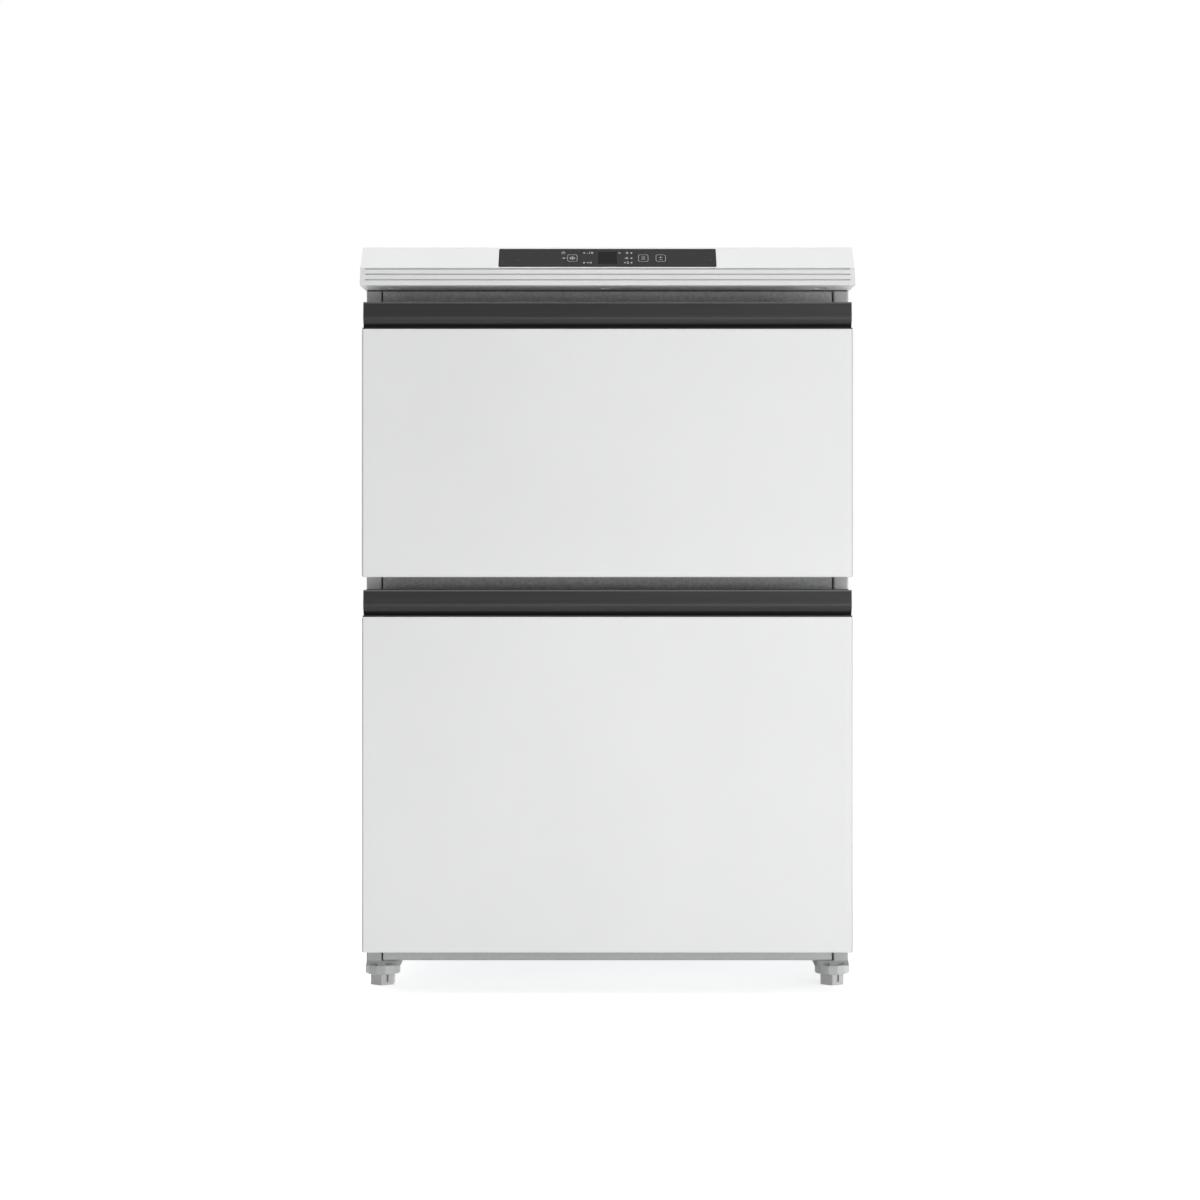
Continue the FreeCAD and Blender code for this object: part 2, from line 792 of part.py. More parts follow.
def handle(base):
    """Extruded trough: a front strip that rolls under at the bottom, a floor and a rear wall."""
    top = base + handle_height
    floor = base + handle_lip_height
    knee = base + handle_roll_height
    end = half_width - handle_end_inset
    strip_back = handle_front_y + handle_lean + handle_wall
    edge = min(handle_front_edge, 0.45 * handle_wall)
    outer = [
        (handle_front_y + handle_lean, top, edge),
        (handle_front_y, knee, handle_bulge_radius),
        (handle_front_y + handle_roll_depth, base, handle_roll_radius),
        (handle_rear_y, base, 0),
        (handle_rear_y, top, handle_rear_edge),
    ]
    trough = [
        (handle_rear_y - handle_wall, top, handle_rear_edge),
        (handle_rear_y - handle_wall, base + handle_wall, handle_fold_radius),
        (handle_front_y + handle_roll_depth + handle_wall, base + handle_wall, handle_fold_radius),
        (handle_front_y + handle_wall, knee, handle_bulge_radius),
        (strip_back, top, edge),
    ]
    bar = extruded(outer + trough, "x", -end, end)
    lip_end = half_width - handle_lip_inset
    lip = block(-lip_end, lip_end, handle_front_y + handle_lean, handle_rear_y, base, floor)
    return joined([bar, lip])


def handle_end_cap(base):
    """Plug that closes the right end of the trough, between its strip and its rear wall."""
    top = base + handle_height - handle_lip_height
    knee = base + handle_roll_height
    gap = handle_cap_gap
    floor = base + handle_wall + gap
    end = half_width - handle_end_inset
    section = [
        (handle_rear_y - handle_wall - gap, top, 0),
        (handle_rear_y - handle_wall - gap, floor, handle_fold_radius),
        (handle_front_y + handle_roll_depth + handle_wall + 2 * gap, floor, handle_fold_radius),
        (handle_front_y + handle_wall + 2 * gap, knee, handle_bulge_radius),
        (handle_front_y + handle_lean + handle_wall + 2 * gap, top, 0),
    ]
    return extruded(section, "x", end - handle_cap_length, end)


# Telescopic rails, drawn on the right

def channel(web_x, tip_x, middle_z, half_height, start):
    """Rail member of channel section: a web and two flanges that reach to the tip."""
    path = [
        (tip_x, middle_z - half_height),
        (web_x, middle_z - half_height),
        (web_x, middle_z + half_height),
        (tip_x, middle_z + half_height),
    ]
    side = rail_sheet if tip_x > web_x else -rail_sheet
    return bent_sheet(path, side, rail_fold, "y", start, start + rail_length)


rail_step = rail_sheet + rail_running_gap
rail_tip_x = bracket_face_x + rail_step


def outer_rail(middle_z):
    """Fixed member, on the wall of the liner."""
    return channel(cavity_half_width, rail_tip_x, middle_z, rail_height / 2, slide_front_y)


def middle_rail_member(middle_z):
    """Member that runs half way out between the other two."""
    web_x = cavity_half_width - rail_step
    return channel(web_x, rail_tip_x, middle_z, rail_height / 2 - rail_step, slide_front_y)


def inner_rail(middle_z):
    """Member that carries the drawer."""
    tip = bracket_face_x + rail_flange_inner
    return channel(bracket_face_x, tip, middle_z, rail_height / 2 - 2 * rail_step, slide_front_y)


# Bins

def shelf_z(middle_z):
    """Top of the bracket that the rim of a bin hangs on."""
    return middle_z + rail_height / 2 + bracket_shelf_rise + bracket_sheet


def bin_bracket(middle_z):
    """Folded arm from the drawer front along the inner rail, with a shelf for the rim of the bin."""
    top = shelf_z(middle_z)
    low = middle_z - rail_height / 2 + bracket_foot_drop
    back_x = bracket_face_x - bracket_sheet
    path = [(back_x, low), (back_x, top), (back_x + bracket_shelf_width, top)]
    arm = bent_sheet(path, bracket_sheet, rail_fold, "y", bracket_front_y, slide_front_y + rail_length)
    tab = block(
        back_x - bracket_tab_width, bracket_face_x - bracket_sheet / 2,
        bracket_front_y, bracket_front_y + bracket_sheet, low, middle_z + rail_height / 2)
    return joined([arm, tab])


def bin_block(steps, top, inset):
    """Tapered inside or outside of a bin, one tapered block for each step of its floor."""
    base = steps[0][0] + bin_floor_gap
    blocks = []
    for floor, _, rear in steps:
        low = floor + bin_floor_gap
        shelf_gap = bin_well_gap if rear < cavity_rear_y else bin_rear_gap
        share = (low - base) / (top - base)
        wires = []
        for z, taper in ((low + inset, bin_taper * (1 - share)), (top, 0)):
            half = bin_half_width - taper - inset
            front = bin_front_y + inset
            section = rectangle(-half, half, front, rear - shelf_gap - inset, bin_corner - inset)
            wires.append(outline(section, "z", z))
        blocks.append(Part.makeLoft(wires, True, True))
    return joined(blocks)


def drawer_bin(steps, middle_z):
    """Moulded bin with a rim that rests on the brackets."""
    seat = shelf_z(middle_z)
    top = seat + bin_rim_thickness
    half = bin_half_width + bin_rim_side
    rear = steps[-1][2] - bin_rear_gap
    rim = rectangle(-half, half, bin_front_y - bin_rim_end, rear + bin_rim_end, bin_corner)
    outer = joined([bin_block(steps, top, 0), extruded(rim, "z", seat, top)])
    return outer.cut(bin_block(steps, top, bin_wall))


# Feet and rollers

foot_x = half_width - foot_inset_x
foot_y = front_y + foot_inset_y
stud_bottom_z = foot_floor
stud_boss_top = bottom_z + stud_boss_height


def polygon_ring(sides, radius, turn, corner):
    """Corners of a regular polygon about the origin."""
    ring = []
    for i in range(sides):
        angle = math.radians(turn + 360 * i / sides)
        ring.append((radius * math.cos(angle), radius * math.sin(angle), corner))
    return ring


def foot(x):
    """Moulded foot: a wide faceted disc on a hexagon with key slots, on a blind bore."""
    hex_radius = foot_hex_across / 2 / math.cos(math.pi / 6)
    facing = -90 - foot_hex_turn
    hexagon = extruded(polygon_ring(6, hex_radius, facing, foot_hex_corner), "z", 0, foot_hex_height)
    disc_ring = polygon_ring(foot_disc_sides, foot_disc_radius, -90 - foot_disc_turn, foot_disc_corner)
    disc = extruded(disc_ring, "z", foot_hex_height, foot_top_z)
    rims = [e for e in disc.Edges if e.BoundBox.ZLength < 1e-6]
    disc = disc.makeChamfer(foot_disc_edge, rims)
    body = joined([hexagon, disc])
    slot_z = foot_hex_height - foot_slot_height
    for i in range(3):
        slot = block(
            foot_hex_across / 2 - foot_slot_depth, foot_hex_across / 2 + foot_slot_depth,
            -foot_slot_width / 2, foot_slot_width / 2, slot_z, slot_z + foot_slot_height)
        slot.rotate(Vector(), Vector(0, 0, 1), facing + 30 + 120 * i)
        body = body.cut(slot)
    body = body.cut(cylinder(stud_radius + stud_gap, "z", 0, 0, stud_bottom_z, foot_top_z))
    body.translate(Vector(x, foot_y, 0))
    return body


def foot_stud(x):
    """Threaded stud between a foot and its bracket."""
    return cylinder(stud_radius, "z", x, foot_y, stud_bottom_z, stud_boss_top - stud_end_gap)


def foot_bracket():
    """Moulded corner bracket under the cabinet, with the boss of the stud and two notches in front."""
    low = bottom_z - foot_bracket_height
    inner = half_width - foot_bracket_inner
    rear = front_y + foot_bracket_depth
    r = foot_bracket_corner
    plan = [(inner, front_y, r), (half_width, front_y, 0), (half_width, rear, r), (inner, rear, r)]
    plate = extruded(plan, "z", low, bottom_z)
    for side in (-1, 1):
        x = foot_x + side * foot_notch_spacing / 2
        notch_high = low + foot_notch_height
        plate = plate.cut(block(
            x - foot_notch_width / 2, x + foot_notch_width / 2,
            front_y, front_y + foot_notch_depth, low, notch_high))
    boss = cylinder(stud_boss_radius, "z", foot_x, foot_y, low, stud_boss_top)
    bore = cylinder(stud_radius + stud_gap, "z", foot_x, foot_y, low, stud_boss_top)
    return joined([plate, boss]).cut(bore)


roller_x = half_width - roller_inset_x
roller_y = back_y - roller_inset_y


def roller(x):
    """Rear roller: a hub on a plain bore, a web set in from both sides and a rim with chamfered edges."""
    half = roller_width / 2
    web = half - roller_recess
    bore = axle_radius + axle_gap
    rim = roller_radius - roller_rim_wall
    left_half = [
        (bore, -half, 0),
        (roller_hub_radius, -half, 0),
        (roller_hub_radius, -web, 0),
        (rim, -web, 0),
        (rim, -half, 0),
        (roller_radius - roller_edge, -half, 0),
        (roller_radius, -half + roller_edge, 0),
    ]
    profile = left_half + [(radius, -height, corner) for radius, height, corner in reversed(left_half)]
    wheel = revolved(profile, x, roller_y, "x")
    wheel.translate(Vector(0, 0, roller_radius))
    return wheel


def roller_axle(x):
    """Pin with a head, through both cheeks and the roller."""
    reach = roller_width / 2 + roller_side_gap + roller_cheek
    pin = cylinder(axle_radius, "x", roller_y, roller_radius, x - reach, x + reach)
    head_start = x - reach - axle_head_length
    head = cylinder(axle_head_radius, "x", roller_y, roller_radius, head_start, x - reach)
    return joined([pin, head])


def roller_cheek_plate(x, side):
    """Cheek of a roller bracket: an angle screwed under the floor, with a round lower end."""
    near = x + side * (roller_width / 2 + roller_side_gap)
    far = near + side * roller_cheek
    r = roller_cheek_radius
    low = roller_radius - r
    plate = extruded([
        (roller_y - 2 * r, bottom_z, 0),
        (roller_y - r, low, roller_cheek_corner),
        (roller_y + r, low, roller_cheek_corner),
        (roller_y + 2 * r, bottom_z, 0),
    ], "x", min(near, far), max(near, far))
    edge = near + side * roller_cheek_flange
    flange = block(
        min(near, edge), max(near, edge), roller_y - 2 * r, roller_y + 2 * r,
        bottom_z - roller_cheek, bottom_z)
    bore = cylinder(axle_radius + axle_gap, "x", roller_y, roller_radius, min(near, far), max(near, far))
    return joined([plate, flange]).cut(bore)


# Compressor bay and condenser

inlet_x = half_width - inlet_inset
inlet_z = floor_z + inlet_rise
compressor_y = (bay_front_y + back_y) / 2
seam_z = shell_low_z + compressor_height / 2
drier_y = bay_front_y + sheet + drier_clip + drier_radius
drier_z = (floor_z + bay_top_z) / 2
drier_tip = drier_length / 2 + drier_neck_length
condenser_half_width = half_width - condenser_side_margin
condenser_y = back_y + condenser_standoff
condenser_low_z = bay_top_z + condenser_rise
spacer_low_z = soffit_z - spacer_drop - spacer_height
condenser_high_z = spacer_low_z + condenser_lap
condenser_pitch = (condenser_high_z - condenser_low_z) / (condenser_passes - 1)
liquid_pipe_x = condenser_half_width + condenser_pitch / 2
liquid_pipe_z = drier_z + drier_tip + pipe_run + pipe_bend
discharge_pipe_x = -liquid_pipe_x - 2 * condenser_tube_radius - condenser_return_gap
discharge_pipe_z = seam_z + discharge_rise


def compressor():
    """Welded steel shell with its seam, legs and terminal box."""
    low = shell_low_z
    top = low + compressor_height
    seam = seam_z
    rim = compressor_radius + compressor_seam
    profile = [
        (0, low, 0),
        (compressor_radius, low, compressor_dome),
        (compressor_radius, seam - compressor_seam_height / 2, 0),
        (rim, seam - compressor_seam_height / 2, 0),
        (rim, seam + compressor_seam_height / 2, 0),
        (compressor_radius, seam + compressor_seam_height / 2, 0),
        (compressor_radius, top, compressor_dome),
        (0, top, 0),
    ]
    shell = revolved(profile, compressor_offset_x, compressor_y)
    half_x = compressor_leg_spread_x + compressor_leg_margin
    half_y = compressor_leg_spread_y + compressor_leg_margin
    plan = rectangle(
        compressor_offset_x - half_x, compressor_offset_x + half_x,
        compressor_y - half_y, compressor_y + half_y, compressor_leg_margin)
    legs = extruded(plan, "z", leg_z, low)
    for x, y in leg_spots():
        legs = legs.cut(cylinder(mount_bore, "z", x, y, leg_z, low))
    start = compressor_offset_x + compressor_radius - terminal_depth / 2
    box = rectangle(
        compressor_y - terminal_width / 2, compressor_y + terminal_width / 2,
        seam - terminal_height / 2, seam + terminal_height / 2, terminal_corner)
    terminal = extruded(box, "x", start, start + terminal_depth + compressor_seam)
    return joined([shell, legs, terminal])


def leg_spots():
    """Places of the four mounts under the compressor."""
    spread = [(-1, -1), (1, -1), (1, 1), (-1, 1)]
    return [
        (compressor_offset_x + i * compressor_leg_spread_x, compressor_y + j * compressor_leg_spread_y)
        for i, j in spread
    ]


def compressor_mount(x, y):
    """Rubber grommet between the floor and a leg."""
    waist = mount_radius - mount_waist
    profile = [
        (mount_bore, floor_z, 0),
        (mount_radius, floor_z, 0),
        (waist, (floor_z + leg_z) / 2, 0),
        (mount_radius, leg_z, 0),
        (mount_bore, leg_z, 0),
    ]
    return revolved(profile, x, y)


def filter_drier():
    """Copper filter with necked ends, in a clip on the wall of the bay."""
    y = drier_y
    middle = drier_z
    half = drier_length / 2
    tip = drier_tip
    profile = [
        (0, middle - tip, 0),
        (drier_neck_radius, middle - tip, 0),
        (drier_neck_radius, middle - half, 0),
        (drier_radius, middle - half + drier_radius, 0),
        (drier_radius, middle + half - drier_radius, 0),
        (drier_neck_radius, middle + half, 0),
        (drier_neck_radius, middle + tip, 0),
        (0, middle + tip, 0),
    ]
    body = revolved(profile, drier_x, y)
    clip = block(
        drier_x - drier_radius, drier_x + drier_radius, y - drier_radius - drier_clip, y,
        middle - drier_radius, middle + drier_radius)
    return joined([body, clip])


def condenser_levels():
    """Heights of the straight passes of the condenser tube."""
    return [condenser_low_z + i * condenser_pitch for i in range(condenser_passes)]


def bent_tube(stops, radius):
    """Round tube through (point, bend radius) stops: straight runs joined by tangent bends."""
    edges = []
    start = stops[0][0]
    for (before, _), (corner, bend), (after, _) in zip(stops, stops[1:], stops[2:]):
        arrive = (corner - before).normalize()
        leave = (after - corner).normalize()
        half_turn = arrive.getAngle(leave) / 2
        near = corner - arrive * (bend * math.tan(half_turn))
        far = corner + leave * (bend * math.tan(half_turn))
        middle = corner + (leave - arrive).normalize() * (bend / math.cos(half_turn) - bend)
        if (near - start).Length > 1e-6:
            edges.append(Part.makeLine(start, near))
        edges.append(Part.Arc(near, middle, far).toShape())
        start = far
    edges.append(Part.makeLine(start, stops[-1][0]))
    ring = Part.makeCircle(radius, stops[0][0], stops[1][0] - stops[0][0])
    return Part.Wire(edges).makePipeShell([Part.Wire([ring])], True, False)


def condenser_coil():
    """Tube from the drier to the back, up it in a serpentine, down its side and in to the compressor."""
    levels = condenser_levels()
    turn = condenser_pitch / 2
    drier_top = Vector(drier_x, drier_y, drier_z + drier_tip)
    stops = [
        (drier_top, 0),
        (Vector(drier_x, drier_y, liquid_pipe_z), pipe_bend),
        (Vector(liquid_pipe_x, drier_y, liquid_pipe_z), pipe_bend),
        (Vector(liquid_pipe_x, condenser_y, liquid_pipe_z), pipe_bend),
    ]
    for i, z in enumerate(levels):
        side = 1 if i % 2 == 0 else -1
        stops.append((Vector(side * liquid_pipe_x, condenser_y, z), turn))
        if i < condenser_passes - 1:
            stops.append((Vector(-side * liquid_pipe_x, condenser_y, z), turn))
    compressor_face = compressor_offset_x - compressor_radius - pipe_gap
    stops += [
        (Vector(discharge_pipe_x, condenser_y, levels[-1]), turn),
        (Vector(discharge_pipe_x, condenser_y, discharge_pipe_z), pipe_bend),
        (Vector(discharge_pipe_x, compressor_y, discharge_pipe_z), pipe_bend),
        (Vector(compressor_face, compressor_y, discharge_pipe_z), 0),
    ]
    return bent_tube(stops, condenser_tube_radius)


def condenser_wires():
    """Upright wires that stiffen the condenser, in front of and behind its tube."""
    levels = condenser_levels()
    low = levels[0] - wire_margin
    high = levels[-1] + wire_margin
    step = 2 * (condenser_half_width - wire_margin) / (wire_count - 1)
    wires = []
    for side in (-1, 1):
        y = condenser_y + side * (condenser_tube_radius + wire_gap + wire_radius)
        for i in range(wire_count):
            x = -condenser_half_width + wire_margin + i * step
            wires.append(cylinder(wire_radius, "z", x, y, low, high))
    return wires


def condenser_clips():
    """Clips that hold the first and the last pass of the tube off the back."""
    clips = []
    levels = condenser_levels()
    end = condenser_y + condenser_tube_radius + clip_wall
    for z in (levels[0], levels[-1]):
        for side in (-1, 1):
            x = side * (condenser_half_width - clip_width / 2)
            half = clip_width / 2
            rise = clip_height / 2
            body = block(x - half, x + half, back_y, end, z - rise, z + rise)
            bore_radius = condenser_tube_radius + clip_gap
            bore = cylinder(bore_radius, "x", condenser_y, z, x - clip_width, x + clip_width)
            clips.append(body.cut(bore))
    return clips


# Cabinet nodes

save("right_side_panel", side_panel())
save("left_side_panel", mirrored(side_panel()))
save("rear_panel", block(-inner_half, inner_half, back_y - sheet, back_y, bay_top_z, soffit_z))
top_low_z = soffit_z - sheet
save("top_plate", block(-inner_half, inner_half, rail_back_y, back_y - sheet, top_low_z, soffit_z))
save("base_plate", base_plate())
save("compressor_bay_wall", bay_wall())
save("rear_cover", rear_cover())
save("rear_cover_screws", *cover_screws())
save("mains_inlet", mains_inlet())
spacer_x = half_width - spacer_inset
save("wall_spacers", wall_spacer(-spacer_x), wall_spacer(spacer_x))
save("top_rail", front_rail(top_rail_bottom, soffit_z))
save("middle_rail", front_rail(middle_rail_bottom, middle_rail_top))
save("bottom_rail", front_rail(bottom_z, bottom_rail_top))
save("upper_liner", liner(upper_steps))
save("lower_liner", liner(lower_steps))
save("cabinet_insulation", insulation())
save("evaporator_plates", evaporator(upper_steps), evaporator(lower_steps))
save("compressor", compressor())
save("compressor_mounts", *[compressor_mount(x, y) for x, y in leg_spots()])
save("filter_drier", filter_drier())
save("condenser_coil", condenser_coil())
save("condenser_wires", *condenser_wires())
save("condenser_clips", *condenser_clips())

save("top_cap", top_cap())
save("cap_soffit", cap_soffit())
save("cap_screws", *[cap_screw(x) for x in (-cap_screw_x, 0, cap_screw_x)])
save("control_panel", control_panel())
save("display_window", display_window(0, window_depth))
save("control_board", control_board())

save("front_foot_brackets", foot_bracket(), mirrored(foot_bracket()))
for name, x in (("left", -foot_x), ("right", foot_x)):
    save(f"{name}_foot", foot(x))
    save(f"{name}_foot_stud", foot_stud(x))
cheeks = [roller_cheek_plate(x, side) for x in (-roller_x, roller_x) for side in (-1, 1)]
save("rear_roller_brackets", *cheeks)
save("rear_roller_axles", roller_axle(-roller_x), roller_axle(roller_x))
save("left_rear_roller", roller(-roller_x))
save("right_rear_roller", roller(roller_x))

# Drawer nodes

drawers = [
    ("upper", upper_panel_z, upper_panel_height, upper_steps, upper_rail_z),
    ("lower", lower_panel_z, lower_panel_height, lower_steps, lower_rail_z),
]
for name, low, height, steps, middle_z in drawers:
    base = low + height
    save(f"{name}_front_panel", front_panel(low, height))
    save(f"{name}_front_core", front_core(low, height, steps))
    save(f"{name}_front_liner", front_liner(low, height, steps))
    save(f"{name}_gasket", gasket(low, base + handle_height))
    save(f"{name}_handle", handle(base))
    save(f"{name}_handle_end_caps", handle_end_cap(base), mirrored(handle_end_cap(base)))
    for member, shape in (
        ("outer_rails", outer_rail(middle_z)),
        ("middle_rails", middle_rail_member(middle_z)),
        ("inner_rails", inner_rail(middle_z)),
        ("bin_brackets", bin_bracket(middle_z)),
    ):
        save(f"{name}_{member}", shape, mirrored(shape))
    save(f"{name}_bin", drawer_bin(steps, middle_z))
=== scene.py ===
import math

import bmesh
import bpy
from mathutils import Matrix, Vector


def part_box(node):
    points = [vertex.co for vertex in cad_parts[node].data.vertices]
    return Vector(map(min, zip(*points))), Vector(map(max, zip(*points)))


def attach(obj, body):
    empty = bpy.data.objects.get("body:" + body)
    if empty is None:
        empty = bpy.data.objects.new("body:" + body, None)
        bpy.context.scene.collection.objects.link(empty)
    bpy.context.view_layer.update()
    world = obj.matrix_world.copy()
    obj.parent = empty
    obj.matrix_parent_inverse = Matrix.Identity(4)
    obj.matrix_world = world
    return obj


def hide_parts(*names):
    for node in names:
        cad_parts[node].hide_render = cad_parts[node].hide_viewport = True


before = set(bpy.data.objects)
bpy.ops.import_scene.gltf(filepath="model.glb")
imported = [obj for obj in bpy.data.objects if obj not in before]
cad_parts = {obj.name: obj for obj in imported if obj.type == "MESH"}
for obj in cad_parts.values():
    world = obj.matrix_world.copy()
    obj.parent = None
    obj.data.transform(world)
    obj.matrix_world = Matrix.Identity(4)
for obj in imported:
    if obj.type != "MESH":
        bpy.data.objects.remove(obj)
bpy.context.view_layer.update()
view = bpy.context.scene.view_settings
view.view_transform = "Standard"


# Front feet and the brackets under the cabinet's corners.
# Light grey moulded polypropylene with a fine eroded grain; each foot is a twelve-sided disc on a
# hexagon with key slots, screwed up into its bracket.

def finish(name, roughness, metallic=0.0):
    """New material; gives the material, its node tree and its shader."""
    material = bpy.data.materials.new(name)
    material.use_nodes = True
    shader = material.node_tree.nodes["Principled BSDF"]
    shader.inputs["Roughness"].default_value = roughness
    shader.inputs["Metallic"].default_value = metallic
    return material, material.node_tree, shader


def step(tree, kind, fed, **settings):
    """One node of a tree; its inputs take plain values or the outputs of other nodes."""
    made = tree.nodes.new(kind)
    for label, value in settings.items():
        setattr(made, label, value)
    for label, value in fed.items():
        for source in value if isinstance(value, list) else [value]:
            if isinstance(source, bpy.types.NodeSocket):
                tree.links.new(source, made.inputs[label])
            else:
                made.inputs[label].default_value = source
    return made.outputs[0]


def own_place(tree):
    """The piece's own coordinates."""
    return tree.nodes.new("ShaderNodeTexCoord").outputs["Object"]


def grain(tree, scale, detail=2.0, stretch=(1, 1, 1)):
    """Noise on the piece's own coordinates, with scale in cells a metre."""
    place = step(tree, "ShaderNodeMapping", {"Vector": own_place(tree), "Scale": stretch})
    return step(tree, "ShaderNodeTexNoise", {"Vector": place, "Scale": scale, "Detail": detail})


def tint(tree, shader, height, dark, pale, low=0.3, high=0.7):
    """Base colour that drifts between two tones with a pattern."""
    ramp = step(tree, "ShaderNodeValToRGB", {"Fac": height})
    stops = ramp.node.color_ramp.elements
    for stop, place, colour in zip(stops, (low, high), (dark, pale)):
        stop.position = place
        stop.color = (*colour, 1)
    tree.links.new(ramp, shader.inputs["Base Color"])


def spread(tree, height, near=0.0, far=1.0, first=0.0, last=1.0):
    """Value that runs from first to last while the height runs from near to far."""
    return step(tree, "ShaderNodeMapRange", {
        "Value": height, "From Min": near, "From Max": far, "To Min": first, "To Max": last})


def gloss(tree, shader, height, smooth, rough):
    """Roughness that drifts with a pattern."""
    tree.links.new(spread(tree, height, first=smooth, last=rough), shader.inputs["Roughness"])


def relief(tree, shader, height, depth, strength=1.0):
    """Fine surface relief, depth in metres."""
    bump = step(tree, "ShaderNodeBump", {
        "Height": height, "Distance": depth, "Strength": strength})
    tree.links.new(bump, shader.inputs["Normal"])


def dress(material, *names):
    """Give CAD nodes their finish."""
    for name in names:
        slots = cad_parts[name].data.materials
        slots.clear()
        slots.append(material)


foot_plastic, tree, shader = finish("foot plastic", 0.45)
tint(tree, shader, grain(tree, 60), (0.45, 0.455, 0.455), (0.47, 0.475, 0.475))
gloss(tree, shader, grain(tree, 300), 0.26, 0.34)
shader.inputs["Specular IOR Level"].default_value = 0.8
relief(tree, shader, grain(tree, 2500), 0.00001)
dress(foot_plastic, "left_foot", "right_foot")

# painted shade: the brackets are a darker copy of the foot plastic, for the shade under the cabinet
bracket_plastic_shaded, tree, shader = finish("bracket plastic", 0.5)
tint(tree, shader, grain(tree, 60), (0.25, 0.255, 0.255), (0.29, 0.295, 0.295))
gloss(tree, shader, grain(tree, 300), 0.42, 0.55)
relief(tree, shader, grain(tree, 2500), 0.00003)
dress(bracket_plastic_shaded, "front_foot_brackets")


# Studs of the front feet and the axles of the rear rollers.
# Zinc-plated steel; each stud is a rod with a rolled coarse thread that turns in its corner
# bracket, the axles are headed pins through the roller cheeks.

def sized_tree(name, sizes):
    """New geometry tree with a geometry input and named sizes; gives it, its start and its end."""
    group = bpy.data.node_groups.new(name, "GeometryNodeTree")
    group.interface.new_socket("Geometry", in_out="INPUT", socket_type="NodeSocketGeometry")
    for label, value in sizes.items():
        kind = "NodeSocketInt" if isinstance(value, int) else "NodeSocketFloat"
        group.interface.new_socket(label, in_out="INPUT", socket_type=kind)
    group.interface.new_socket("Geometry", in_out="OUTPUT", socket_type="NodeSocketGeometry")
    return group, group.nodes.new("NodeGroupInput"), group.nodes.new("NodeGroupOutput")


def sums(tree, kind, first, second=0.0):
    """One step of arithmetic, in a geometry tree or a material."""
    return step(tree, "ShaderNodeMath", {0: first, 1: second}, operation=kind)


def moved(group, geometry, **shift):
    """Geometry moved along X, Y or Z."""
    way = step(group, "ShaderNodeCombineXYZ", shift)
    return step(group, "GeometryNodeTransform", {"Geometry": geometry, "Translation": way})


def close_tree(group, end, geometry, material, smooth=True):
    """Make instances real, set the material and lead the result out of the tree."""
    geometry = step(group, "GeometryNodeSetShadeSmooth", {
        "Geometry": geometry, "Shade Smooth": smooth})
    geometry = step(group, "GeometryNodeRealizeInstances", {"Geometry": geometry})
    geometry = step(group, "GeometryNodeSetMaterial", {
        "Geometry": geometry, "Material": material})
    group.links.new(geometry, end.inputs[0])


def put(name, data):
    """New object in the scene."""
    piece = bpy.data.objects.new(name, data)
    bpy.context.scene.collection.objects.link(piece)
    return piece


def evaluated(piece):
    """Plain mesh of an object as its modifiers or its letters make it."""
    graph = bpy.context.evaluated_depsgraph_get()
    return bpy.data.meshes.new_from_object(piece.evaluated_get(graph))


def grown(name, group, sizes, seed=None):
    """Run a geometry tree with its sizes and keep the result as a plain mesh object."""
    piece = put(name, seed or bpy.data.meshes.new(name))
    modifier = piece.modifiers.new(name, "NODES")
    modifier.node_group = group
    for socket in group.interface.items_tree:
        if socket.in_out == "INPUT" and socket.name in sizes:
            modifier[socket.identifier] = sizes[socket.name]
    mesh = evaluated(piece)
    piece.modifiers.remove(modifier)
    piece.data = mesh
    finishes = [material for material in mesh.materials if material]
    mesh.materials.clear()
    mesh.materials.append(finishes[0])
    mesh.polygons.foreach_set("material_index", [0] * len(mesh.polygons))
    return piece


plated_steel, tree, shader = finish("plated steel", 0.3, 1.0)
tint(tree, shader, grain(tree, 150), (0.58, 0.58, 0.57), (0.70, 0.70, 0.69))
gloss(tree, shader, grain(tree, 400), 0.22, 0.42)
dress(plated_steel, "rear_roller_axles")

low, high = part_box("left_foot_stud")
stud_sizes = {"Radius": (high[0] - low[0]) / 2, "Pitch": 0.0015, "Length": high[2] - low[2]}
thread, start, end = sized_tree("rolled thread", stud_sizes)
radius, pitch, length = [start.outputs[label] for label in stud_sizes]
ridge = sums(thread, "MULTIPLY", pitch, 0.5)
core_radius = sums(thread, "SUBTRACT", radius, ridge)
rise = sums(thread, "SUBTRACT", length, pitch)
turns = sums(thread, "DIVIDE", rise, pitch)
helix = step(thread, "GeometryNodeCurveSpiral", {
    "Resolution": 24, "Rotations": turns, "Height": rise,
    "Start Radius": core_radius, "End Radius": core_radius})
helix = step(thread, "GeometryNodeSetCurveNormal", {"Curve": helix}, mode="Z_UP")
tooth = step(thread, "GeometryNodeCurvePrimitiveCircle", {"Resolution": 4, "Radius": ridge})
coil = step(thread, "GeometryNodeCurveToMesh", {
    "Curve": helix, "Profile Curve": tooth, "Fill Caps": True})
coil = moved(thread, coil, Z=ridge)
core = step(thread, "GeometryNodeMeshCylinder", {
    "Vertices": 32, "Radius": core_radius, "Depth": length})
core = moved(thread, core, Z=sums(thread, "MULTIPLY", length, 0.5))
rod = step(thread, "GeometryNodeJoinGeometry", {"Geometry": [coil, core]})
close_tree(thread, end, rod, plated_steel, False)
for side in ("left", "right"):
    low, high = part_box(f"{side}_foot_stud")
    stud = grown(f"{side}_threaded_stud", thread, stud_sizes)
    foot = ((low[0] + high[0]) / 2, (low[1] + high[1]) / 2, low[2])
    stud.data.transform(Matrix.Translation(foot))
    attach(stud, f"{side}_foot_screw")
    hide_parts(f"{side}_foot_stud")


# Rear rollers and the cable gland.
# Black moulded polyamide; each roller turns on a pin between two angle brackets under the back.

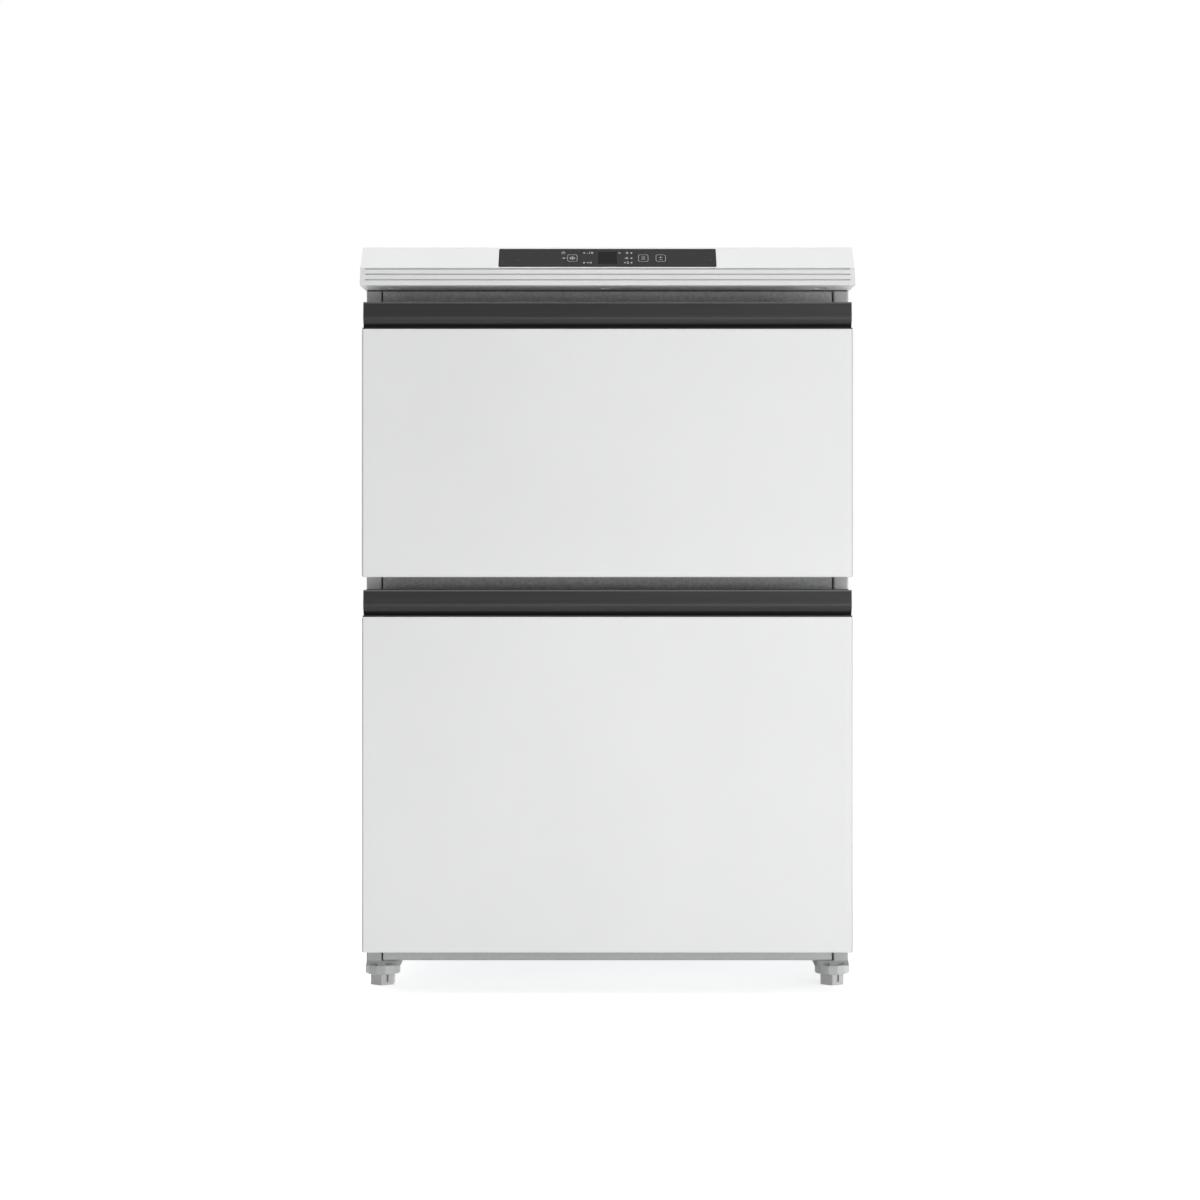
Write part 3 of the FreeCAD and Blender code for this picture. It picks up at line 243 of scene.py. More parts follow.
black_plastic, tree, shader = finish("black plastic", 0.5)
tint(tree, shader, grain(tree, 80), (0.020, 0.020, 0.021), (0.034, 0.034, 0.036))
relief(tree, shader, grain(tree, 1800), 0.00003)
dress(black_plastic, "left_rear_roller", "right_rear_roller", "mains_inlet")


# Hidden sheets of the cabinet: back, top, floor, compressor bay and roller brackets.
# Hot-dip galvanised steel, cut and folded, with the flaky spangle of the zinc left bare.

zinc_sheet, tree, shader = finish("zinc sheet", 0.4, 0.85)
cells = step(tree, "ShaderNodeTexVoronoi", {"Vector": own_place(tree), "Scale": 170})
spangle = cells.node.outputs["Color"]
tint(tree, shader, spangle, (0.43, 0.44, 0.45), (0.48, 0.49, 0.50))
gloss(tree, shader, spangle, 0.44, 0.54)
dress(zinc_sheet, "rear_panel", "top_plate", "base_plate", "compressor_bay_wall", "rear_cover",
      "rear_roller_brackets")


# Screws of the rear cover.
# Zinc-plated pan heads with a cross recess, one in each corner of the cover.

def ring_of(shape, radius, height, count=24):
    """Circle of points of a mesh under construction."""
    angles = [2 * math.pi * i / count for i in range(count)]
    return [shape.verts.new((radius * math.cos(a), radius * math.sin(a), height)) for a in angles]


def walls(shape, lower, upper):
    """Band of four-sided faces between two loops with as many points."""
    for i in range(len(lower)):
        after = (i + 1) % len(lower)
        shape.faces.new((lower[i], lower[after], upper[after], upper[i]))


def loop_edges(shape, points):
    """Edges round a loop of points, made where there are none."""
    pairs = [(points[i - 1], points[i]) for i in range(len(points))]
    return [shape.edges.get(pair) or shape.edges.new(pair) for pair in pairs]


def as_mesh(shape, name):
    """Mesh of a shape under construction, which ends with it."""
    mesh = bpy.data.meshes.new(name)
    shape.to_mesh(mesh)
    shape.free()
    return mesh


def cross_screw(name, head, height, shank, length):
    """Pan-head screw that looks up, its seat at zero, with a tapered cross recess in its head."""
    shape = bmesh.new()
    profile = [(shank, -length), (shank, 0), (head, 0), (head, 0.35 * height),
               (0.9 * head, 0.7 * height), (0.68 * head, 0.93 * height), (0.5 * head, height)]
    rings = [ring_of(shape, radius, at) for radius, at in profile]
    for lower, upper in zip(rings, rings[1:]):
        walls(shape, lower, upper)
    shape.faces.new(rings[0][::-1])
    reach, arm = 0.42 * head, 0.11 * head
    taper, bottom = 0.55, 0.3 * height
    quarter = [(arm, reach), (arm, arm), (reach, arm)]
    cross = []
    for turn in range(4):
        swing = Matrix.Rotation(-math.pi / 2 * turn, 2)
        cross += [swing @ Vector(point) for point in quarter]
    mouth = [shape.verts.new((*point, height)) for point in cross]
    recess = [shape.verts.new((*(taper * point), bottom)) for point in cross]
    walls(shape, mouth, recess)
    for loops in ([rings[-1], mouth], [recess]):
        edges = [edge for loop in loops for edge in loop_edges(shape, loop)]
        bmesh.ops.triangle_fill(shape, edges=edges, use_beauty=True, normal=(0, 0, 1))
    bmesh.ops.recalc_face_normals(shape, faces=shape.faces)
    return as_mesh(shape, name)


def seed_mesh(name, points, edges=()):
    """Mesh of bare points and edges that a geometry tree starts from."""
    mesh = bpy.data.meshes.new(name)
    mesh.from_pydata(points, edges, [])
    return mesh


def set_screws(name, screw, facing, spots, node):
    """Put a screw at each spot, looking along its facing, in place of a CAD node."""
    upright = Vector((0, 0, 1))
    screw.transform(upright.rotation_difference(Vector(facing)).to_matrix().to_4x4())
    pattern = put(name + "_pattern", screw)
    group, start, end = sized_tree(name, {})
    model = step(group, "GeometryNodeObjectInfo", {"Object": pattern}).node.outputs["Geometry"]
    placed = step(group, "GeometryNodeInstanceOnPoints", {
        "Points": start.outputs["Geometry"], "Instance": model})
    close_tree(group, end, placed, plated_steel, False)
    heads = grown(name, group, {}, seed_mesh(name, spots))
    bpy.data.objects.remove(pattern)
    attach(heads, "cabinet")
    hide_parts(node)


low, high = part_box("rear_cover_screws")
head, shank, shank_length = 0.0045, 0.002, 0.0009
screw = cross_screw("rear screw", head, high[1] - low[1], shank, shank_length)
corners = [(x, low[1], z) for x in (low[0] + head, high[0] - head)
           for z in (low[2] + head, high[2] - head)]
set_screws("rear_screw_heads", screw, (0, 1, 0), corners, "rear_cover_screws")


# Cross rails of the front frame, seen in the gaps between the drawers.
# Folded steel with a grey hammered paint, speckled and slightly rough; the bottom rail's paint is
# smoother, and paler as painted light for the base.

rail_paint, tree, shader = finish("rail paint", 0.5)
tint(tree, shader, grain(tree, 420, 4), (0.28, 0.285, 0.285), (0.385, 0.39, 0.39), 0.35, 0.65)
relief(tree, shader, grain(tree, 500, 3), 0.00012)
dress(rail_paint, "top_rail", "middle_rail")

# painted light: a paler copy of the rail paint, for the light at the base
rail_paint_lit, tree, shader = finish("rail paint lit", 0.5)
tint(tree, shader, grain(tree, 420, 4), (0.47, 0.475, 0.475), (0.50, 0.505, 0.505), 0.35, 0.65)
relief(tree, shader, grain(tree, 500, 3), 0.00004)
dress(rail_paint_lit, "bottom_rail")


# Pans of the drawer fronts.
# Deep-drawn steel sheet with white baked paint, almost flat, with a faint orange peel, and painted
# shade in a grey band along the upright edges.

def axes_of(tree):
    """The piece's own x, y and z."""
    return step(tree, "ShaderNodeSeparateXYZ", {"Vector": own_place(tree)}).node.outputs


def painted(tree, shader, part, colour):
    """Another colour over part of a piece."""
    under = shader.inputs["Base Color"].links[0].from_socket
    shade = step(tree, "ShaderNodeMixRGB", {
        "Fac": part, "Color1": under, "Color2": (*colour, 1)})
    tree.links.new(shade, shader.inputs["Base Color"])


white_paint, tree, shader = finish("white paint", 0.35)
tint(tree, shader, grain(tree, 5), (0.755, 0.760, 0.760), (0.775, 0.780, 0.780))
low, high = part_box("upper_front_panel")
shaded_edge_insets, shaded_edge_depths = (0.0022, 0.0008), (0.0030, 0.0018)
across, depth = axes_of(tree)[:2]
# painted shade: a grey band down the upright edges of the front face
beside = spread(tree, sums(tree, "ABSOLUTE", across), *[high[0] - inset for inset in shaded_edge_insets])
ahead = spread(tree, depth, *[low[1] + deep for deep in shaded_edge_depths])
painted(tree, shader, sums(tree, "MULTIPLY", beside, ahead), (0.44, 0.445, 0.445))
gloss(tree, shader, grain(tree, 90), 0.33, 0.40)
relief(tree, shader, grain(tree, 900, 1), 0.00002)
dress(white_paint, "upper_front_panel", "lower_front_panel")


# Side panels of the cabinet, whose folded front flanges show beside the rails.
# Steel sheet with a light grey baked paint.

grey_paint, tree, shader = finish("grey paint", 0.4)
tint(tree, shader, grain(tree, 6), (0.37, 0.375, 0.375), (0.40, 0.405, 0.405))
gloss(tree, shader, grain(tree, 90), 0.36, 0.44)
relief(tree, shader, grain(tree, 900, 1), 0.00002)
dress(grey_paint, "left_side_panel", "right_side_panel")


# Liners of the two compartments and the backs of the drawer fronts.
# White high-impact polystyrene sheet, drawn over a mould with the soft gloss that leaves.

liner_plastic, tree, shader = finish("liner plastic", 0.3)
tint(tree, shader, grain(tree, 8), (0.80, 0.81, 0.81), (0.84, 0.85, 0.85))
gloss(tree, shader, grain(tree, 30), 0.25, 0.38)
relief(tree, shader, grain(tree, 25), 0.0002, 0.3)
dress(liner_plastic, "upper_liner", "lower_liner", "upper_front_liner", "lower_front_liner")


# Foam between the steel and the liners, and in the drawer fronts.
# Pale yellow polyurethane, blown in place, with fine closed cells.

foam, tree, shader = finish("foam", 0.9)
tint(tree, shader, grain(tree, 220, 4), (0.66, 0.61, 0.45), (0.80, 0.76, 0.62))
relief(tree, shader, grain(tree, 700, 3), 0.0006)
dress(foam, "cabinet_insulation", "upper_front_core", "lower_front_core")


# Cooling plates on the backs of the liners.
# Roll-bonded aluminium, left as rolled.

cooling_plate, tree, shader = finish("cooling plate", 0.35, 1.0)
tint(tree, shader, grain(tree, 60, 3, (1, 1, 14)), (0.70, 0.71, 0.72), (0.80, 0.81, 0.82))
gloss(tree, shader, grain(tree, 200, 2, (1, 1, 20)), 0.28, 0.45)
dress(cooling_plate, "evaporator_plates")


# Compressor, and the condenser's tube and wires on the back.
# Steel with black stove enamel, a little uneven; the shell is welded, the wires are spot-welded to
# the tube in two rows.

black_enamel, tree, shader = finish("black enamel", 0.4)
tint(tree, shader, grain(tree, 25, 3), (0.012, 0.012, 0.013), (0.026, 0.026, 0.027))
gloss(tree, shader, grain(tree, 120), 0.3, 0.5)
relief(tree, shader, grain(tree, 600), 0.00005)
dress(black_enamel, "compressor", "condenser_coil")

low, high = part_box("condenser_wires")
wire = 0.0008
wire_sizes = {"Count": 30, "Span": high[0] - low[0] - 2 * wire, "Length": high[2] - low[2],
              "Wire": wire, "Spread": high[1] - low[1] - 2 * wire}
grid, start, end = sized_tree("condenser wires", wire_sizes)
count, span, length, wire_radius, row_gap = [start.outputs[label] for label in wire_sizes]
tip = step(grid, "ShaderNodeCombineXYZ", {"Z": length})
line = step(grid, "GeometryNodeCurvePrimitiveLine", {"End": tip})
section = step(grid, "GeometryNodeCurvePrimitiveCircle", {"Resolution": 8, "Radius": wire_radius})
rod = step(grid, "GeometryNodeCurveToMesh", {
    "Curve": line, "Profile Curve": section, "Fill Caps": True})
far = step(grid, "ShaderNodeCombineXYZ", {"X": span})
row = step(grid, "GeometryNodeMeshLine", {"Count": count, "Offset": far}, mode="END_POINTS")
near_row = step(grid, "GeometryNodeInstanceOnPoints", {"Points": row, "Instance": rod})
far_row = moved(grid, near_row, Y=row_gap)
both = step(grid, "GeometryNodeJoinGeometry", {"Geometry": [near_row, far_row]})
close_tree(grid, end, both, black_enamel)
wires = grown("condenser_wire_rows", grid, wire_sizes)
wires.data.transform(Matrix.Translation((low[0] + wire, low[1] + wire, low[2])))
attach(wires, "cabinet")
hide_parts("condenser_wires")


# Rubber mounts of the compressor.
# Black nitrile grommets between the floor and the compressor's legs.

rubber, tree, shader = finish("rubber", 0.8)
tint(tree, shader, grain(tree, 200), (0.018, 0.018, 0.018), (0.032, 0.032, 0.032))
relief(tree, shader, grain(tree, 1500), 0.00005)
dress(rubber, "compressor_mounts")


# Filter drier beside the compressor.
# Spun copper tube with necked ends, slightly tarnished.

copper, tree, shader = finish("copper", 0.3, 1.0)
tint(tree, shader, grain(tree, 90, 4), (0.52, 0.26, 0.15), (0.80, 0.46, 0.31))
gloss(tree, shader, grain(tree, 160), 0.22, 0.45)
dress(copper, "filter_drier")


# Wall spacers and the clips of the condenser.
# White moulded polypropylene, snapped into the back.

clip_plastic, tree, shader = finish("clip plastic", 0.5)
tint(tree, shader, grain(tree, 70), (0.55, 0.56, 0.56), (0.62, 0.63, 0.63))
relief(tree, shader, grain(tree, 1500), 0.00003)
dress(clip_plastic, "wall_spacers", "condenser_clips")


# Telescopic rails and the brackets that carry the bins.
# Cold-rolled steel strip, roll-formed, zinc plated, with rolling lines along its length.

rail_zinc, tree, shader = finish("rail zinc", 0.5, 1.0)
tint(tree, shader, grain(tree, 220, 3, (1, 0.02, 1)), (0.48, 0.49, 0.50), (0.56, 0.57, 0.58))
gloss(tree, shader, grain(tree, 500, 2, (1, 0.03, 1)), 0.42, 0.54)
dress(rail_zinc, *[f"{drawer}_{member}" for drawer in ("upper", "lower")
                   for member in ("outer_rails", "middle_rails", "inner_rails", "bin_brackets")])


# Bins hung in the drawers.
# Frosted clear polystyrene, injection moulded, a rim all round that rests on the brackets.

bin_plastic, tree, shader = finish("bin plastic", 0.25)
tint(tree, shader, grain(tree, 12), (0.84, 0.89, 0.91), (0.88, 0.92, 0.94))
gloss(tree, shader, grain(tree, 9), 0.26, 0.32)
shader.inputs["Transmission Weight"].default_value = 0.55
shader.inputs["IOR"].default_value = 1.49
dress(bin_plastic, "upper_bin", "lower_bin")


# Gaskets round the backs of the drawer fronts.
# Soft grey vinyl with a magnet strip inside, pushed into a groove of the liner.

def rounded_path(group, width, height, corner):
    """Closed rectangular curve with round corners, flat on the ground plane."""
    line = step(group, "GeometryNodeCurvePrimitiveQuadrilateral", {
        "Width": width, "Height": height})
    line = step(group, "GeometryNodeFilletCurve", {
        "Curve": line, "Count": 8, "Radius": corner}, mode="POLY")
    line = step(group, "GeometryNodeSetCurveRadius", {"Curve": line, "Radius": 1.0})
    line = step(group, "GeometryNodeSetCurveTilt", {"Curve": line, "Tilt": 0.0})
    return step(group, "GeometryNodeSetCurveNormal", {"Curve": line}, mode="Z_UP")


gasket_vinyl, tree, shader = finish("gasket vinyl", 0.6)
tint(tree, shader, grain(tree, 60), (0.36, 0.37, 0.38), (0.42, 0.43, 0.44))
relief(tree, shader, grain(tree, 900), 0.00005)

low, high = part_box("upper_gasket")
gasket_half, gasket_deep = 0.006, high[1] - low[1]
folds = [(0, 0.65), (0.09, 0.65), (0.14, 0.35), (0.22, 0.92), (0.30, 0.38), (0.39, 0.96),
         (0.48, 0.42), (0.55, 0.85), (0.59, 1.0), (0.95, 1.0), (1.0, 0.88)]
half_section = [(gasket_half * across, gasket_deep * along, 0) for along, across in folds]
outline = half_section + [(-u, v, w) for u, v, w in reversed(half_section)]
outline_edges = [(i, (i + 1) % len(outline)) for i in range(len(outline))]
for drawer in ("upper", "lower"):
    low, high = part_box(f"{drawer}_gasket")
    ring_sizes = {"Width": high[0] - low[0] - 2 * gasket_half,
                  "Height": high[2] - low[2] - 2 * gasket_half, "Corner": 0.008}
    bellows, start, end = sized_tree(f"{drawer} gasket bellows", ring_sizes)
    width, height, corner = [start.outputs[label] for label in ring_sizes]
    section = step(bellows, "GeometryNodeMeshToCurve", {"Mesh": start.outputs["Geometry"]})
    line = rounded_path(bellows, width, height, corner)
    ring = step(bellows, "GeometryNodeCurveToMesh", {"Curve": line, "Profile Curve": section})
    close_tree(bellows, end, ring, gasket_vinyl, False)
    seed = seed_mesh("gasket section", outline, outline_edges)
    gasket = grown(f"{drawer}_gasket_bellows", bellows, ring_sizes, seed)
    upright = Matrix.Rotation(math.radians(90), 4, "X")
    middle = (0, low[1], (low[2] + high[2]) / 2)
    gasket.data.transform(Matrix.Translation(middle) @ upright)
    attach(gasket, f"{drawer}_drawer")
    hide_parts(f"{drawer}_gasket")


# Handles along the tops of the drawer fronts, and their end plugs.
# Charcoal plastic extrusion with a satin skin, drawn lengthwise, and a painted highlight in a pale
# band along its top edge.

top_highlight_depths = 0.0017, 0.0013
for drawer in ("upper", "lower"):
    handle_charcoal, tree, shader = finish(f"{drawer} handle charcoal", 0.38)
    streaks = grain(tree, 300, 3, (0.02, 1, 1))
    tint(tree, shader, streaks, (0.014, 0.0142, 0.0142), (0.020, 0.0203, 0.0203))
    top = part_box(f"{drawer}_handle")[1][2]
    # painted highlight: a pale band along the handle's top edge, where its rounded edge would catch
    # light
    rim = spread(tree, axes_of(tree)[2], *[top - deep for deep in top_highlight_depths])
    painted(tree, shader, rim, (0.115, 0.116, 0.116))
    gloss(tree, shader, grain(tree, 500, 2, (0.04, 1, 1)), 0.27, 0.34)
    shader.inputs["Specular IOR Level"].default_value = 0.27
    relief(tree, shader, grain(tree, 1400), 0.00003)
    dress(handle_charcoal, f"{drawer}_handle", f"{drawer}_handle_end_caps")


# Top cap with its grooved lip, and the soffit under its overhang.
# White ABS mouldings with a fine satin grain, screwed together from below; the grooves of the lip
# and the screw cups of the soffit are greyer as painted shade, and the soffit's paler tone is
# painted light.

cap_plastic, tree, shader = finish("cap plastic", 0.38)
tint(tree, shader, grain(tree, 7), (0.69, 0.695, 0.695), (0.71, 0.715, 0.715))
low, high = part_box("top_cap")
lip_rise, lip_lean = 0.0205, 0.004
groove_shade_depths, lip_bottom, lip_top = (0.0003, 0.0008), (0.002, 0.003), (0.0200, 0.0196)
lip_ends = high[0] - 0.004, high[0] - 0.005
across, depth, height = axes_of(tree)
lift = sums(tree, "SUBTRACT", height, low[2])
face = sums(tree, "ADD", sums(tree, "MULTIPLY", lift, lip_lean / lip_rise), low[1])
# painted shade: the grooves of the lip are tinted greyer, where shade falls in them
groove = spread(tree, sums(tree, "SUBTRACT", depth, face), *groove_shade_depths)
aside = sums(tree, "ABSOLUTE", across)
for measure, limits in ((lift, lip_bottom), (lift, lip_top), (aside, lip_ends)):
    groove = sums(tree, "MULTIPLY", groove, spread(tree, measure, *limits))
painted(tree, shader, groove, (0.57, 0.575, 0.575))
gloss(tree, shader, grain(tree, 200), 0.34, 0.44)
relief(tree, shader, grain(tree, 2200), 0.00002)
dress(cap_plastic, "top_cap")

# painted light: the soffit is a paler copy of the cap's white plastic, for light under the overhang
soffit_plastic_lit, tree, shader = finish("soffit plastic", 0.4)
tint(tree, shader, grain(tree, 7), (0.87, 0.875, 0.875), (0.89, 0.895, 0.895))
underside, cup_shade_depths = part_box("cap_soffit")[0][2], (0.0002, 0.0006)
# painted shade: the insides of the screw cups are tinted dark grey
cups = spread(tree, axes_of(tree)[2], *[underside + deep for deep in cup_shade_depths])
painted(tree, shader, cups, (0.22, 0.225, 0.225))
gloss(tree, shader, grain(tree, 200), 0.34, 0.44)
dress(soffit_plastic_lit, "cap_soffit")

low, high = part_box("cap_screws")
head, head_height, shank = 0.004, 0.0024, 0.002
seat = low[2] + head_height
screw = cross_screw("cap screw", head, head_height, shank, high[2] - seat)
spots = [(x, (low[1] + high[1]) / 2, seat) for x in (low[0] + head, 0, high[0] - head)]
set_screws("cap_screw_heads", screw, (0, 0, -1), spots, "cap_screws")


# Dark bead along the joint between the soffit and the front frame, a painted shadow line.
# Dark grey, a slim quarter round in the corner under the soffit.

# painted shadow: a dark strip where the shade line falls at the joint
shadow_line_dark, tree, shader = finish("shadow_line_dark", 0.6)
tint(tree, shader, grain(tree, 80), (0.016, 0.016, 0.0165), (0.024, 0.024, 0.0245))
relief(tree, shader, grain(tree, 900), 0.00005)

joint_y, joint_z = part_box("top_rail")[0][1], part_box("cap_soffit")[0][2]
bead_inset, bead_depth, bead_drop, bead_facets = 0.0015, 0.0010, 0.0017, 6
bead_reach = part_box("right_side_panel")[1][0] - bead_inset
angles = [math.pi / 2 * i / bead_facets for i in range(bead_facets + 1)]
section = [(0, 0)] + [(-bead_depth * math.cos(a), -bead_drop * math.sin(a)) for a in angles]
shape = bmesh.new()
bead_ends = [[shape.verts.new((x, joint_y + y, joint_z + z)) for y, z in section]
             for x in (-bead_reach, bead_reach)]
walls(shape, *bead_ends)
for loop in bead_ends:
    shape.faces.new(loop)
bmesh.ops.recalc_face_normals(shape, faces=shape.faces)
soffit_bead = put("soffit_bead", as_mesh(shape, "soffit_bead"))
soffit_bead.data.materials.append(shadow_line_dark)
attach(soffit_bead, "cabinet")


# Control strip let into the slope of the cap, its display pane and the board behind it.
# Dark grey polycarbonate with a gloss top coat; the pane is smoked acrylic, the board green
# laminate.

strip_plastic, tree, shader = finish("strip plastic", 0.25)
tint(tree, shader, grain(tree, 40), (0.0155, 0.0155, 0.0155), (0.0168, 0.0168, 0.0168))
gloss(tree, shader, grain(tree, 250), 0.26, 0.28)
shader.inputs["Specular IOR Level"].default_value = 0.1
dress(strip_plastic, "control_panel")

smoked_pane, tree, shader = finish("smoked pane", 0.08)
tint(tree, shader, grain(tree, 120), (0.004, 0.004, 0.004), (0.006, 0.006, 0.006))
gloss(tree, shader, grain(tree, 80), 0.06, 0.14)
shader.inputs["Specular IOR Level"].default_value = 0.1
dress(smoked_pane, "display_window")

board_laminate, tree, shader = finish("board laminate", 0.45)
tint(tree, shader, grain(tree, 300), (0.015, 0.11, 0.04), (0.03, 0.20, 0.08))
relief(tree, shader, grain(tree, 1500), 0.00004)
dress(board_laminate, "control_board")


# Prints on the control strip: key outlines, lamp dots, plain signs and figures.
# Pale grey screen-printed ink on the top coat; places are given across the strip and up its slope
# from slope_foot.

print_ink, tree, shader = finish("print ink", 0.4)
tint(tree, shader, grain(tree, 500), (0.40, 0.405, 0.405), (0.48, 0.485, 0.485))
ink = 0.0001
slope_turn = math.radians(39.9)
slope_foot = (0, -0.2885, 0.8245)
top_row, key_row, low_row = 0.0286, 0.0183, 0.0090

key_sizes = {"Width": 0.0107, "Height": 0.0134, "Corner": 0.002, "Line": 0.0004, "Ink": ink}
outlines, start, end = sized_tree("key outline", key_sizes)
width, height, corner, line_width, depth = [start.outputs[label] for label in key_sizes]
line = rounded_path(outlines, width, height, corner)
section = step(outlines, "GeometryNodeCurvePrimitiveQuadrilateral", {
    "Width": line_width, "Height": depth})
key = step(outlines, "GeometryNodeCurveToMesh", {"Curve": line, "Profile Curve": section})
keys = step(outlines, "GeometryNodeInstanceOnPoints", {
    "Points": start.outputs["Geometry"], "Instance": key})
close_tree(outlines, end, keys, print_ink, False)
frost_x, list_x, count_x = -0.0399, 0.0407, 0.0605
seed = seed_mesh("key places", [(x, key_row, 0) for x in (frost_x, list_x, count_x)])
prints = [grown("key_outlines", outlines, key_sizes, seed)]

lamp_sizes = {"Radius": 0.0011, "Ink": ink}
dots, start, end = sized_tree("indicator lamps", lamp_sizes)
radius, depth = [start.outputs[label] for label in lamp_sizes]
dot = step(dots, "GeometryNodeMeshCylinder", {"Vertices": 20, "Radius": radius, "Depth": depth})
all_dots = step(dots, "GeometryNodeInstanceOnPoints", {
    "Points": start.outputs["Geometry"], "Instance": dot})
close_tree(dots, end, all_dots, print_ink, False)
lock_lamp_x, left_lamp_x, right_lamp_x = -0.0498, -0.0266, 0.0272
lamp_places = [(lock_lamp_x, key_row, 0), (left_lamp_x, top_row, 0), (left_lamp_x, low_row, 0)]
lamp_places += [(right_lamp_x, v, 0) for v in (top_row, key_row, low_row)]
seed = seed_mesh("lamp places", lamp_places)
prints.append(grown("indicator_lamps", dots, lamp_sizes, seed))


def spot(x, v, radius, angle):
    """Place on a circle, at an angle in degrees."""
    turn = math.radians(angle)
    return x + radius * math.cos(turn), v + radius * math.sin(turn)


def arc(x, v, radius, first, last, count=12):
    """Places along part of a circle."""
    return [spot(x, v, radius, first + (last - first) * i / count) for i in range(count + 1)]


def bar(x, v, reach):
    """Ends of a level line through a place."""
    return [(x - reach, v), (x + reach, v)]


star_arm, star_tip, star_fork, star_open = 0.0036, 0.0031, 0.0019, 20
strokes = [arc(frost_x, key_row, star_arm, turn + 90, turn + 270, 1) for turn in (0, 60, 120)]
strokes += [[spot(frost_x, key_row, star_tip, turn - star_open),
             spot(frost_x, key_row, star_fork, turn),
             spot(frost_x, key_row, star_tip, turn + star_open)] for turn in range(90, 450, 60)]
list_reach, list_gap = 0.0023, 0.0024
strokes += [bar(list_x, key_row + lift, list_reach) for lift in (-list_gap, 0, list_gap)]
sign_reach, plus_v, minus_v = 0.0021, key_row + 0.0014, key_row - 0.0032
strokes += [bar(count_x, plus_v, sign_reach),
            [(count_x, plus_v - sign_reach), (count_x, plus_v + sign_reach)],
            bar(count_x, minus_v, sign_reach)]
dash_x, dash_reach, ring_x, ring_radius = -0.0471, 0.0011, 0.0136, 0.0012
strokes += [bar(dash_x, key_row, dash_reach), arc(ring_x, top_row, ring_radius, 0, 360)]
lock_x, lock_reach, lock_top, lock_bottom = -0.0503, 0.0017, top_row + 0.001, top_row - 0.002
lock_body = bar(lock_x, lock_top, lock_reach) + bar(lock_x, lock_bottom, lock_reach)[::-1]
strokes += [arc(lock_x, lock_top, ring_radius, 0, 180), lock_body + lock_body[:1]]
points, edges = [], []
for places in strokes:
    first = len(points)
    points += [(x, v, 0) for x, v in places]
    edges += [(i, i + 1) for i in range(first, len(points) - 1)]
sign_sizes = {"Line": 0.00045, "Ink": ink}
signs, start, end = sized_tree("printed lines", sign_sizes)
line_width, depth = [start.outputs[label] for label in sign_sizes]
line = step(signs, "GeometryNodeMeshToCurve", {"Mesh": start.outputs["Geometry"]})
line = step(signs, "GeometryNodeSetCurveNormal", {"Curve": line}, mode="Z_UP")
section = step(signs, "GeometryNodeCurvePrimitiveQuadrilateral", {
    "Width": line_width, "Height": depth})
line = step(signs, "GeometryNodeCurveToMesh", {
    "Curve": line, "Profile Curve": section, "Fill Caps": True})
close_tree(signs, end, line, print_ink, False)
seed = seed_mesh("sign lines", points, edges)
prints.append(grown("printed_signs", signs, sign_sizes, seed))

shape = bmesh.new()
for piece in prints:
    shape.from_mesh(piece.data)
    bpy.data.objects.remove(piece)
figure_size = 0.0058
figures = [("-18", -0.0200, top_row), ("+4", -0.0208, low_row), ("0", 0.0224, top_row),
           ("-6", 0.0213, key_row), ("+2", 0.0213, low_row)]
for text, x, v in figures:
    letters = bpy.data.curves.new(text, "FONT")
    letters.body = text
    letters.size = figure_size
    letters.align_x, letters.align_y = "CENTER", "CENTER"
    letters.extrude = ink / 2
    figure = put("figure", letters)
    mesh = evaluated(figure)
    mesh.transform(Matrix.Translation((x, v, 0)))
    shape.from_mesh(mesh)
    bpy.data.objects.remove(figure)
strip_prints = put("strip_prints", as_mesh(shape, "strip_prints"))
strip_prints.data.materials.append(print_ink)
strip_prints.data.transform(Matrix.Translation(slope_foot) @ Matrix.Rotation(slope_turn, 4, "X")
                            @ Matrix.Translation((0, 0, ink / 2)))
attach(strip_prints, "cabinet")


# Studio: a pale floor that runs out to white, a white surround, six soft lamps and the camera.
# Three lamps stand in front and above, two on the right, of which one skims the feet, and one
# behind for the back.

def seen_directly(tree):
    """1 for what the camera, a reflection or a clear piece shows, 0 for light that only bounces."""
    path = tree.nodes.new("ShaderNodeLightPath").outputs
    mirrored = sums(tree, "MAXIMUM", path["Is Camera Ray"], path["Is Glossy Ray"])
    return sums(tree, "MAXIMUM", mirrored, path["Is Transmission Ray"])


